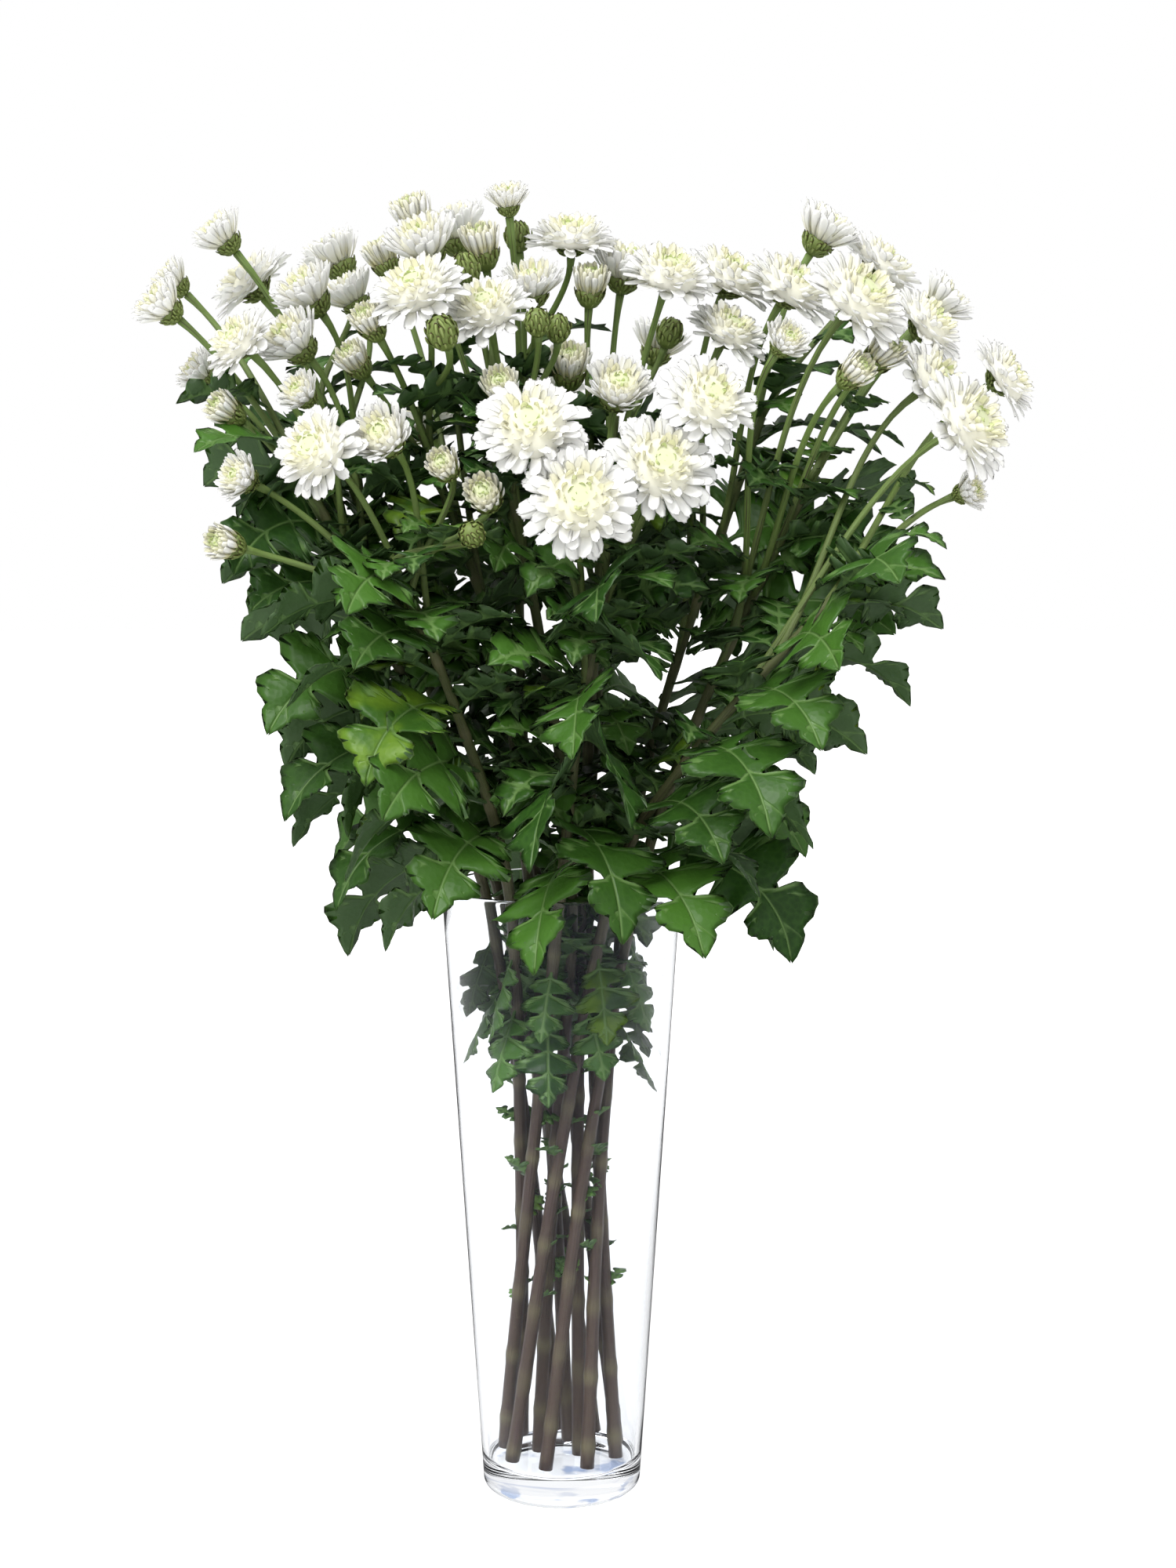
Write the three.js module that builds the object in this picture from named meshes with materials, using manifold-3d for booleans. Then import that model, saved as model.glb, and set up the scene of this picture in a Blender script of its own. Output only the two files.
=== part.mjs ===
// A bunch of double spray chrysanthemums standing in a tall clear glass vase.
// Units are millimetres, +Z is up, and the origin is the centre of the vase's flat underside.
// The bunch faces -Y. Each leafy stem is one solid with its leaves, pedicels, calyxes and green buds,
// and each white flower head is a solid of its own that sits in its calyx.
import * as THREE from 'three';
import Module from 'manifold-3d';
import { mergeVertices } from 'three/addons/utils/BufferGeometryUtils.js';

// Vase
const VASE_HEIGHT = 300;
const VASE_RIM_RADIUS = 58;
const VASE_FOOT_RADIUS = 38.5;
const VASE_WALL = 2.8;
const VASE_FLOOR = 14;
const VASE_CORNER = 4;
const VASE_SIDES = 30;

// Stems
const STEM_RADIUS = 3.2;
const STEM_TOP_RADIUS = 2.0;
const STEM_SIDES = 5;
const STEM_STEPS = [1, 2, 3, 3];
const CUT_END_HEIGHT = VASE_FLOOR + 3;
const WAIST_HEIGHT = 165;
const NECK_HEIGHT = 300;
const OUTER_RING = { foot: 29, waist: 20, neck: 38 };
const INNER_RING = { foot: 12, waist: 8, neck: 16 };
const FOOT_TWIST = -50;
const NECK_TWIST = 45;

// Pedicels, the thin stalks that carry one head each
const PEDICEL_RADIUS = 1.7;
const PEDICEL_TOP_RADIUS = 1.4;
const PEDICEL_SIDES = 3;
const PEDICEL_STEPS = 2;
// How far a pedicel turns from the stem's direction to its head's at once, and the shares of its
// length that it keeps the direction it leaves the stem in and the one it meets the head in
const PEDICEL_SPREAD = 0.5;
const PEDICEL_LEAVING = 0.35;
const PEDICEL_MEETING = 0.3;

// Heads face away from this point inside the bunch
const BUNCH_HEART = new THREE.Vector3(0, 80, 415);

// Each stage of opening, in units of the head's radius. tiers run from the centre out as [tip radius,
// tip height, notch radius, notch height], and a tier with a foot stands free of the one below.
const STAGES = {
  open: {
    petals: 6,
    centre: 0.34,
    tiers: [
      { edge: [0.46, 0.6, 0.3, 0.4] },
      { edge: [0.8, 0.38, 0.52, 0.2], foot: [0.46, 0.08] },
      { edge: [1.0, -0.04, 0.64, 0] },
    ],
    calyx: { radius: 0.38, lift: -0.02 },
    depth: 0.3,
  },
  half: {
    petals: 5,
    centre: 0.36,
    tiers: [
      { edge: [0.5, 0.78, 0.34, 0.52], foot: [0.46, 0.42] },
      { edge: [1.0, 0.62, 0.62, 0.4], foot: [0.36, 0] },
    ],
    calyx: { radius: 0.5, lift: -0.03 },
    depth: 0.5,
  },
};

// Small heads that are one body with their pedicel, as [radius, height] rings above the pedicel. The
// tuft's last two rings are petal tips, with the notches between them at a share of the radius.
const TUFT = {
  calyx: [[0.58, -0.45]],
  petals: [[0.7, 0.1], [1.0, 1.05], [0.55, 1.35]],
  top: 1.05,
  depth: 0.85,
};
const TUFT_NOTCH = 0.72;
const BRACT_TIP = 1.15;
const BRACT_NOTCH = 0.85;
const CALYX_DISH = 0.02;
const BUD = { calyx: [[0.8, -0.6], [1.0, 0.2], [0.62, 1.0]], top: 1.25, depth: 1.0 };

// Leaf outline, one half, from the petiole's foot to the tip: [share of the length, share of the half-width]
const LEAF_HALF = [
  [0.0, 0.0],
  [0.22, 0.12],
  [0.3, 0.74],
  [0.46, 0.3],
  [0.56, 1.0],
  [0.7, 0.38],
  [0.82, 0.62],
];
const LEAF_RIB = [0.26, 0.5, 0.76];
// The point of the rib that each stretch of the half outline is joined to
const LEAF_HALF_RIB = [0, 0, 0, 1, 1, 2, 2];
const LEAF_THICKNESS = 2;
const LEAF_FOLD = 0.22;
const LEAF_SINK = 1.8;

// Finishes
const GLASS = { color: 0xdfeaf2, roughness: 0.05, metalness: 0, transparent: true, opacity: 0.35 };
const GREEN = { color: 0x4f6b3a, roughness: 0.65, metalness: 0 };
const WHITE = { color: 0xf4f3ea, roughness: 0.6, metalness: 0 };

// One entry per stem. slot is the stem's bearing in the vase's neck in degrees, and knee and crown
// are where it starts to branch and where it ends. heads lists [x, y, z, diameter, stage], from the
// lowest branch up. A 'bud' is all green, and a 'tuft' is a small head in one body with its stalk.
// leafSpacing is the run from leaf to leaf. The stems in the middle of the bunch also have leafStart,
// the run from the neck to the first leaf, and leafBearings, the bearings that their leaves take in
// turn so that they point into the gaps between the outer stems.
const SPRAYS = [
  {
    name: 'front', ring: OUTER_RING, slot: 270, knee: [9, -52, 384], crown: [22, -62, 451],
    leafSpacing: 21,
    heads: [
      [9, -101, 484, 52, 'open'],
      [-12, -88, 516, 50, 'open'],
      [44, -82, 499, 50, 'open'],
      [66, -70, 528, 46, 'open'],
      [26, -52, 532, 32, 'half'],
      [-26, -50, 533, 20, 'tuft'],
    ],
  },
  {
    name: 'front_left', ring: OUTER_RING, slot: 230, knee: [-48, -44, 388], crown: [-76, -64, 456],
    leafSpacing: 16,
    heads: [
      [-106, -80, 506, 44, 'open'],
      [-76, -76, 511, 31, 'half'],
      [-142, -57, 494, 24, 'half'],
      [-148, -70, 465, 18, 'tuft'],
      [-50, -80, 499, 17, 'tuft'],
      [-32, -84, 486, 20, 'tuft'],
      [-38, -92, 470, 13, 'bud'],
    ],
  },
  {
    name: 'left', ring: OUTER_RING, slot: 190, knee: [-68, -10, 385], crown: [-124, -16, 505],
    leafSpacing: 19,
    heads: [
      [-146, -34, 556, 38, 'open'],
      [-122, -14, 556, 34, 'half'],
      [-170, 12, 544, 24, 'half'],
      [-116, -44, 532, 22, 'half'],
      [-153, -26, 525, 18, 'tuft'],
      [-183, -14, 573, 28, 'half'],
      [-184, 20, 587, 24, 'half'],
    ],
  },
  {
    name: 'back_left', ring: OUTER_RING, slot: 150, knee: [-62, 28, 385], crown: [-118, 42, 530],
    leafSpacing: 24,
    heads: [
      [-160, 20, 608, 28, 'half'],
      [-152, 60, 589, 46, 'open'],
      [-118, 10, 579, 34, 'half'],
      [-102, 54, 582, 30, 'half'],
      [-112, 82, 602, 34, 'half'],
    ],
  },
  {
    name: 'inner_left', ring: INNER_RING, slot: 170, knee: [-30, 0, 410], crown: [-67, -1, 520],
    leafSpacing: 23, leafStart: 104, leafBearings: [210, 170],
    heads: [
      [-70, 26, 617, 22, 'tuft'],
      [-86, 46, 600, 20, 'tuft'],
      [-86, -36, 564, 18, 'tuft'],
      [-95, -12, 548, 18, 'tuft'],
      [-64, -44, 578, 46, 'open'],
      [-52, -70, 559, 16, 'bud'],
    ],
  },
  {
    name: 'centre_left', ring: INNER_RING, slot: 290, knee: [-8, -15, 410], crown: [-30, -20, 525],
    leafSpacing: 25, leafStart: 36, leafBearings: [240, 252],
    heads: [
      [-63, -4, 600, 36, 'half'],
      [-33, -34, 570, 44, 'open'],
      [-44, -8, 592, 15, 'bud'],
      [-10, -47, 565, 13, 'bud'],
      [-1, -34, 563, 13, 'bud'],
      [-37, 10, 602, 22, 'tuft'],
    ],
  },
  {
    name: 'back_centre', ring: OUTER_RING, slot: 110, knee: [-20, 46, 382], crown: [-22, 48, 540],
    leafSpacing: 21,
    heads: [
      [-25, 14, 624, 22, 'half'],
      [-21, 36, 611, 14, 'bud'],
      [-52, 62, 613, 36, 'half'],
      [-13, -2, 582, 30, 'half'],
      [5, 24, 607, 44, 'open'],
    ],
  },
  {
    name: 'centre', ring: INNER_RING, slot: 50, knee: [16, 12, 410], crown: [26, 10, 525],
    leafSpacing: 25, leafStart: 30, leafBearings: [292, 60],
    heads: [
      [14, 12, 584, 20, 'tuft'],
      [30, 34, 592, 34, 'half'],
      [50, -14, 587, 45, 'open'],
      [52, 20, 564, 14, 'bud'],
      [4, 2, 545, 22, 'tuft'],
    ],
  },
  {
    name: 'back_right', ring: OUTER_RING, slot: 30, knee: [49, 34, 380], crown: [98, 38, 525],
    leafSpacing: 26,
    heads: [
      [80, 22, 588, 48, 'open'],
      [78, -4, 562, 40, 'open'],
      [107, 0, 582, 48, 'open'],
      [126, 46, 611, 34, 'half'],
      [156, 58, 597, 46, 'open'],
    ],
  },
  {
    name: 'right', ring: OUTER_RING, slot: 350, knee: [67, -1, 384], crown: [118, -3, 494],
    leafSpacing: 20,
    heads: [
      [134, -46, 574, 53, 'open'],
      [100, -64, 554, 22, 'half'],
      [132, -56, 541, 18, 'tuft'],
      [147, -30, 550, 20, 'tuft'],
      [172, 4, 566, 44, 'open'],
      [184, 48, 579, 30, 'half'],
    ],
  },
  {
    name: 'front_right', ring: OUTER_RING, slot: 310, knee: [58, -50, 364], crown: [137, -62, 455],
    leafSpacing: 17,
    heads: [
      [182, -60, 518, 52, 'open'],
      [172, -20, 538, 46, 'open'],
      [210, 14, 542, 42, 'open'],
      [188, -24, 488, 20, 'half'],
    ],
  },
  {
    name: 'back', ring: OUTER_RING, slot: 70, knee: [18, 60, 385], crown: [20, 92, 483],
    leafSpacing: 19,
    heads: [
      [-70, 118, 520, 44, 'open'],
      [-10, 128, 540, 46, 'open'],
      [30, 134, 500, 44, 'open'],
      [48, 100, 560, 32, 'half'],
      [86, 100, 532, 44, 'open'],
    ],
  },
];

// Leaves. Inside the vase a few hang close to each outer stem, folded inwards to clear the glass.
// Their heights shift by the stagger from stem to stem, in a cycle. Above the vase the leaves follow
// the stem at an even spacing, wide and drooping low down, shorter and more upright near the heads.
// low and high give [length, rise at the stem, droop along the blade] at the neck and at the crown,
// and first is the run from the neck to the first leaf.
const VASE_LEAVES = { heights: [266, 240], stagger: 5, cycle: 3, shape: [44, -60, 14] };
const OUTER_LEAVES = { first: 12, low: [92, 14, 100], high: [72, 42, 84] };
const INNER_LEAVES = { first: 62, low: [50, 20, 76], high: [58, 46, 84] };
const LEAF_WIDTH_SHARE = 0.68;
// How far a leaf turns aside from its stem's bearing: the further out the stem stands, the more
const LEAF_TURN = { least: 15, most: 42, perMillimetre: 0.55, from: 40 };
const LEAF_ROLL = -30;
// How far the leaves stray from the rule: shares of the length, and degrees
const LEAF_STRAY = { length: 0.24, rise: 20, droop: 30, turn: 12, roll: 54 };
const SEED_STEP = 10;

// How finely a path is walked, searched and sloped
const WALK_STEPS = 200;
const HALVINGS = 24;
const SLOPE_STEP = 0.02;
const NEARLY_UPRIGHT = 0.95;

const wasm = await Module();
wasm.setup();

const UP = new THREE.Vector3(0, 0, 1);

function vector(list) {
  return new THREE.Vector3(...list);
}

function polar(radius, degrees, height) {
  const a = THREE.MathUtils.degToRad(degrees);
  return new THREE.Vector3(radius * Math.cos(a), radius * Math.sin(a), height);
}

// Point of a smooth curve through the listed points, with t running from 0 to the last index
function alongPath(points, t) {
  const i = Math.min(Math.floor(t), points.length - 2);
  const u = t - i;
  const p1 = points[i];
  const p2 = points[i + 1];
  const p0 = i > 0 ? points[i - 1] : p1.clone().multiplyScalar(2).sub(p2);
  const p3 = i + 2 < points.length ? points[i + 2] : p2.clone().multiplyScalar(2).sub(p1);
  const point = new THREE.Vector3();
  for (const axis of ['x', 'y', 'z']) {
    const slopeIn = (p2[axis] - p0[axis]) / 2;
    const slopeOut = (p3[axis] - p1[axis]) / 2;
    const rise = p2[axis] - p1[axis];
    const c = 3 * rise - 2 * slopeIn - slopeOut;
    const d = slopeIn + slopeOut - 2 * rise;
    point[axis] = p1[axis] + u * (slopeIn + u * (c + u * d));
  }
  return point;
}

// Parameter at which a rising path reaches a height
function parameterAtHeight(points, height) {
  let low = 0;
  let high = points.length - 1;
  for (let i = 0; i < HALVINGS; i++) {
    const middle = (low + high) / 2;
    if (alongPath(points, middle).z < height) low = middle;
    else high = middle;
  }
  return (low + high) / 2;
}

function directionOnPath(points, t) {
  const before = alongPath(points, Math.max(t - SLOPE_STEP, 0));
  const after = alongPath(points, Math.min(t + SLOPE_STEP, points.length - 1));
  return after.sub(before).normalize();
}

// Closed geometry from rings between two end points. A ring runs anticlockwise as seen from the end
// point that comes last, and it has as many points as the ring before it, or twice as many.
function closedLoft(firstPole, rings, lastPole) {
  const vertices = [firstPole, ...rings.flat(), lastPole];
  const faces = [];
  let start = 1;
  rings.forEach((ring, level) => {
    const count = ring.length;
    const at = (i) => start + (i % count);
    if (level === 0) {
      for (let i = 0; i < count; i++) faces.push(0, at(i + 1), at(i));
    }
    const next = rings[level + 1];
    const above = (i) => start + count + (i % (next ? next.length : 1));
    for (let i = 0; i < count; i++) {
      if (!next) {
        faces.push(at(i), at(i + 1), above(0));
      } else if (next.length === count) {
        faces.push(at(i), at(i + 1), above(i));
        faces.push(at(i + 1), above(i + 1), above(i));
      } else {
        faces.push(at(i), above(2 * i + 1), above(2 * i));
        faces.push(at(i), at(i + 1), above(2 * i + 1));
        faces.push(at(i + 1), above(2 * i + 2), above(2 * i + 1));
      }
    }
    start += count;
  });
  return indexedGeometry(vertices, faces);
}

function indexedGeometry(vertices, faces) {
  const geometry = new THREE.BufferGeometry();
  const flat = vertices.flatMap((v) => [v.x, v.y, v.z]);
  geometry.setAttribute('position', new THREE.Float32BufferAttribute(flat, 3));
  geometry.setIndex(faces);
  return geometry;
}

// Two directions square to a given one
function crossAxes(direction) {
  const helper = Math.abs(direction.z) > NEARLY_UPRIGHT ? new THREE.Vector3(1, 0, 0) : UP;
  const across = new THREE.Vector3().crossVectors(helper, direction).normalize();
  const other = new THREE.Vector3().crossVectors(direction, across);
  return [across, other];
}

function ringAround(centre, direction, count, radiusAt, liftAt) {
  const [across, other] = crossAxes(direction);
  return Array.from({ length: count }, (_, i) => {
    const a = (2 * Math.PI * i) / count;
    return centre
      .clone()
      .addScaledVector(across, radiusAt(i) * Math.cos(a))
      .addScaledVector(other, radiusAt(i) * Math.sin(a))
      .addScaledVector(direction, liftAt(i));
  });
}

// Rings square to a line of centres, with their own radius at each
function tubeRings(centres, radii, sides) {
  return centres.map((centre, i) => {
    const before = centres[Math.max(i - 1, 0)];
    const after = centres[Math.min(i + 1, centres.length - 1)];
    const direction = after.clone().sub(before).normalize();
    return ringAround(centre, direction, sides, () => radii[i], () => 0);
  });
}

function vaseGeometry() {
  const wallAt = (height) =>
    VASE_FOOT_RADIUS + ((VASE_RIM_RADIUS - VASE_FOOT_RADIUS) * height) / VASE_HEIGHT;
  const lip = VASE_WALL / 2;
  const profile = [
    [0, 0],
    [wallAt(0) - VASE_CORNER / 2, 0],
    [wallAt(VASE_CORNER), VASE_CORNER],
    [wallAt(VASE_HEIGHT - lip), VASE_HEIGHT - lip],
    [wallAt(VASE_HEIGHT) - lip, VASE_HEIGHT],
    [wallAt(VASE_HEIGHT - lip) - VASE_WALL, VASE_HEIGHT - lip],
    [wallAt(VASE_FLOOR + VASE_CORNER) - VASE_WALL, VASE_FLOOR + VASE_CORNER],
    [wallAt(VASE_FLOOR) - VASE_WALL - VASE_CORNER, VASE_FLOOR],
    [0, VASE_FLOOR],
  ];
  const points = profile.map(([radius, height]) => new THREE.Vector2(radius, height));
  const geometry = new THREE.LatheGeometry(points, VASE_SIDES);
  geometry.rotateX(Math.PI / 2);
  return geometry;
}

function stemPath(spray) {
  return [
    polar(spray.ring.foot, spray.slot - NECK_TWIST + FOOT_TWIST, CUT_END_HEIGHT),
    polar(spray.ring.waist, spray.slot - NECK_TWIST, WAIST_HEIGHT),
    polar(spray.ring.neck, spray.slot, NECK_HEIGHT),
    vector(spray.knee),
    vector(spray.crown),
  ];
}

function stemGeometry(path) {
  const places = [0];
  STEM_STEPS.forEach((steps, span) => {
    for (let i = 1; i <= steps; i++) places.push(span + i / steps);
  });
  const centres = places.map((t) => alongPath(path, t));
  const radii = places.map((t) => THREE.MathUtils.lerp(STEM_RADIUS, STEM_TOP_RADIUS, t / (path.length - 1)));
  return closedLoft(centres[0], tubeRings(centres, radii, STEM_SIDES), centres[centres.length - 1]);
}

// Where a head sits and which way it faces
function headPlace([x, y, z, diameter, stage]) {
  const centre = new THREE.Vector3(x, y, z);
  const facing = centre.clone().sub(BUNCH_HEART).normalize();
  const form = { tuft: TUFT, bud: BUD, ...STAGES }[stage];
  return { centre, facing, radius: diameter / 2, stage, form };
}

// Line of a pedicel, from its place on the branching part of the stem to the foot of its head
function pedicelCentres(path, head, order) {
  const foot = head.centre.clone().addScaledVector(head.facing, -head.form.depth * head.radius);
  const t = path.length - 2 + order;
  const start = alongPath(path, t);
  const span = start.distanceTo(foot);
  const leave = directionOnPath(path, t).lerp(foot.clone().sub(start).divideScalar(span), PEDICEL_SPREAD);
  const curve = new THREE.CubicBezierCurve3(
    start,
    start.clone().addScaledVector(leave, PEDICEL_LEAVING * span),
    foot.clone().addScaledVector(head.facing, -PEDICEL_MEETING * span),
    foot,
  );
  return curve.getPoints(PEDICEL_STEPS);
}

// Pedicel and what it carries in one closed skin: a toothed calyx, a tuft of petals or a green bud
function pedicelGeometry(path, head, order) {
  const centres = pedicelCentres(path, head, order);
  const radii = centres.map((_, i) =>
    THREE.MathUtils.lerp(PEDICEL_RADIUS, PEDICEL_TOP_RADIUS, i / PEDICEL_STEPS),
  );
  const rings = tubeRings(centres, radii, PEDICEL_SIDES);
  const alternate = (wide, narrow) => (i) => (i % 2 ? narrow : wide) * head.radius;
  const add = (count, radiusAt, lift) =>
    rings.push(ringAround(head.centre, head.facing, count, radiusAt, () => lift * head.radius));
  const place = (lift) => head.centre.clone().addScaledVector(head.facing, lift * head.radius);
  if (head.stage === 'bud') {
    BUD.calyx.forEach(([wide, lift]) => add(PEDICEL_SIDES, () => wide * head.radius, lift));
    return closedLoft(centres[0], rings, place(BUD.top));
  }
  if (head.stage === 'tuft') {
    TUFT.calyx.forEach(([wide, lift]) => add(PEDICEL_SIDES, () => wide * head.radius, lift));
    TUFT.petals.forEach(([wide, lift]) =>
      add(2 * PEDICEL_SIDES, alternate(wide, wide * TUFT_NOTCH), lift));
    return closedLoft(centres[0], rings, place(TUFT.top));
  }
  const { radius, lift } = head.form.calyx;
  add(2 * PEDICEL_SIDES, alternate(radius * BRACT_TIP, radius * BRACT_NOTCH), lift);
  return closedLoft(centres[0], rings, place(lift - CALYX_DISH));
}

// Head of layered petals: each tier is a ring of petal tips and notches
function bloomGeometry(head) {
  const { petals, tiers, centre } = head.form;
  const scale = head.radius;
  const rings = [];
  const add = (radiusAt, liftAt) =>
    rings.unshift(ringAround(head.centre, head.facing, 2 * petals, radiusAt, liftAt));
  tiers.forEach(({ edge: [tip, tipLift, notch, notchLift], foot }, tier) => {
    const isTip = (i) => (i + tier) % 2 === 0;
    add((i) => (isTip(i) ? tip : notch) * scale, (i) => (isTip(i) ? tipLift : notchLift) * scale);
    if (foot) add(() => foot[0] * scale, () => foot[1] * scale);
  });
  const top = head.centre.clone().addScaledVector(head.facing, centre * scale);
  return closedLoft(head.centre.clone(), rings, top);
}

// Repeatable scatter from -0.5 to 0.5
function stray(seed) {
  const wave = Math.sin(seed * 12.9898) * 43758.5453;
  return wave - Math.floor(wave) - 0.5;
}

// Where each leaf grows and how it is held: bearing, rise, droop and roll in degrees. The leaves in
// the vase keep their listed hold, and the others turn, roll and stray to either side.
function leafPlaces(spray, path, number) {
  const outer = spray.ring === OUTER_RING;
  const { first, low, high } = outer ? OUTER_LEAVES : INNER_LEAVES;
  const neck = path.length - 3;
  const lift = VASE_LEAVES.stagger * (number % VASE_LEAVES.cycle);
  const hung = outer ? VASE_LEAVES.heights.map((height) => height + lift) : [];
  const found = hung.map((height) => [parameterAtHeight(path, height), VASE_LEAVES.shape]);
  let run = 0;
  let due = spray.leafStart ?? first;
  let before = alongPath(path, neck);
  for (let i = 1; i <= WALK_STEPS; i++) {
    const share = i / WALK_STEPS;
    const here = alongPath(path, neck + 2 * share);
    run += here.distanceTo(before);
    before = here;
    if (run < due) continue;
    found.push([neck + 2 * share, low.map((value, k) => THREE.MathUtils.lerp(value, high[k], share))]);
    due += spray.leafSpacing;
  }
  return found.map(([t, [length, rise, droop]], i) => {
    const seed = SEED_STEP * (SPRAYS.length * number + i + 1);
    const root = alongPath(path, t);
    const radius = Math.hypot(root.x, root.y);
    const bearing = THREE.MathUtils.radToDeg(Math.atan2(root.y, root.x));
    const turn = LEAF_TURN.perMillimetre * (radius - LEAF_TURN.from);
    const held = THREE.MathUtils.clamp(turn, LEAF_TURN.least, LEAF_TURN.most);
    const side = i % 2 ? 1 : -1;
    const aim = spray.leafBearings?.[i % 2] ?? bearing + side * held;
    const free = t > neck ? 1 : 0;
    return {
      root,
      bearing: aim + LEAF_STRAY.turn * stray(seed + 1),
      length: length * (1 + LEAF_STRAY.length * stray(seed + 2)),
      rise: rise + free * LEAF_STRAY.rise * stray(seed + 3),
      droop: droop + free * LEAF_STRAY.droop * stray(seed + 4),
      roll: free * (side * LEAF_ROLL + LEAF_STRAY.roll * stray(seed + 5)),
      fold: free ? LEAF_FOLD : -LEAF_FOLD,
    };
  });
}

// Lobed blade on an arc that starts at the stem and droops, with a raised rib on both faces
function leafGeometry({ root, bearing, length, rise, droop, roll, fold }) {
  const halfWidth = (length * LEAF_WIDTH_SHARE) / 2;
  const start = THREE.MathUtils.degToRad(rise);
  const bend = THREE.MathUtils.degToRad(droop) / length;
  const outward = polar(1, bearing, 0);
  const across = new THREE.Vector3().crossVectors(UP, outward);
  const place = (share, side, lift) => {
    const run = share * length - LEAF_SINK;
    const slope = start - bend * run;
    const tilt = THREE.MathUtils.degToRad(roll) * Math.min(share / LEAF_RIB[0], 1);
    const normal = outward.clone().multiplyScalar(-Math.sin(slope)).addScaledVector(UP, Math.cos(slope));
    const lateral = across.clone().multiplyScalar(Math.cos(tilt)).addScaledVector(normal, Math.sin(tilt));
    const above = normal.multiplyScalar(Math.cos(tilt)).addScaledVector(across, -Math.sin(tilt));
    return root
      .clone()
      .addScaledVector(outward, (Math.sin(start) - Math.sin(slope)) / bend)
      .addScaledVector(UP, (Math.cos(slope) - Math.cos(start)) / bend)
      .addScaledVector(lateral, side * halfWidth)
      .addScaledVector(above, lift + Math.abs(side) * halfWidth * fold);
  };
  const outline = [
    ...LEAF_HALF.map(([share, side]) => place(share, side, 0)),
    place(1, 0, 0),
    ...LEAF_HALF.slice(1).map(([share, side]) => place(share, -side, 0)).reverse(),
  ];
  const above = LEAF_RIB.map((share) => place(share, 0, LEAF_THICKNESS / 2));
  const below = LEAF_RIB.map((share) => place(share, 0, -LEAF_THICKNESS / 2));
  const count = outline.length;
  const faces = [];
  const onBothFaces = (rib, a, b) => {
    faces.push(count + rib, a, b, count + LEAF_RIB.length + rib, b, a);
  };
  LEAF_HALF_RIB.forEach((rib, i) => {
    const mirrored = count - i;
    onBothFaces(rib, i + 1, i);
    onBothFaces(rib, mirrored % count, mirrored - 1);
    const next = LEAF_HALF_RIB[i + 1] ?? rib;
    if (next === rib) return;
    const low = count + LEAF_RIB.length;
    faces.push(count + rib, count + next, i + 1, low + rib, i + 1, low + next);
    faces.push(count + rib, mirrored - 1, count + next, low + rib, low + next, mirrored - 1);
  });
  return indexedGeometry([...outline, ...above, ...below], faces);
}

function solidOf(geometry) {
  const bare = geometry.clone();
  bare.deleteAttribute('normal');
  bare.deleteAttribute('uv');
  const merged = mergeVertices(bare, 1e-4);
  return new wasm.Manifold(new wasm.Mesh({
    numProp: 3,
    vertProperties: merged.attributes.position.array,
    triVerts: new Uint32Array(merged.index.array),
  }));
}

// Outer skin of a solid: the largest of its connected skins, so that a pocket sealed inside is filled
function outerSkin(solid) {
  const { vertProperties, triVerts } = solid.getMesh();
  const leader = Array.from({ length: vertProperties.length / 3 }, (_, i) => i);
  const find = (i) => {
    let top = i;
    while (leader[top] !== top) top = leader[top];
    leader[i] = top;
    return top;
  };
  for (let i = 0; i < triVerts.length; i += 3) {
    leader[find(triVerts[i + 1])] = find(triVerts[i]);
    leader[find(triVerts[i + 2])] = find(triVerts[i]);
  }
  const skins = new Map();
  for (let i = 0; i < triVerts.length; i += 3) {
    const corners = [...triVerts.slice(i, i + 3)];
    const skin = find(corners[0]);
    skins.set(skin, [...(skins.get(skin) ?? []), ...corners]);
  }
  const largest = [...skins.values()].reduce((a, b) => (a.length >= b.length ? a : b));
  const geometry = new THREE.BufferGeometry();
  geometry.setAttribute('position', new THREE.Float32BufferAttribute(vertProperties, 3));
  geometry.setIndex(largest);
  return geometry;
}

function fused(geometries) {
  return outerSkin(wasm.Manifold.union(geometries.map(solidOf)));
}

function namedMesh(name, geometry, finish) {
  geometry.computeVertexNormals();
  const mesh = new THREE.Mesh(geometry, new THREE.MeshStandardMaterial(finish));
  mesh.name = name;
  return mesh;
}

function leafyStem(spray, number) {
  const path = stemPath(spray);
  const pedicels = spray.heads.map((head, i) =>
    pedicelGeometry(path, headPlace(head), (i + 1) / spray.heads.length));
  const leaves = leafPlaces(spray, path, number).map(leafGeometry);
  const parts = [stemGeometry(path), ...pedicels, ...leaves];
  return namedMesh('stem_' + spray.name, fused(parts), GREEN);
}

function blooms(spray) {
  const opened = spray.heads.map(headPlace).filter((head) => head.stage in STAGES);
  return opened.map((head, i) =>
    namedMesh('bloom_' + spray.name + '_' + (i + 1), bloomGeometry(head), WHITE),
  );
}

const group = new THREE.Group();
group.add(namedMesh('vase', vaseGeometry(), GLASS));
SPRAYS.forEach((spray, number) => {
  group.add(leafyStem(spray, number), ...blooms(spray));
});

export default group;
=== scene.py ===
"""White double spray chrysanthemums standing in a tall clear glass vase.

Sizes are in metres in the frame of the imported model: +Z is up, the origin is the centre of the vase's flat
underside, and the bunch's front faces -Y. Twelve leafy stems stand in the vase. Each carries heads at several
stages of opening, and every petal, bract and leaf is a thin closed shell of its own.
"""

import logging
import math
from dataclasses import dataclass, field
from enum import Enum
from functools import lru_cache

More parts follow.
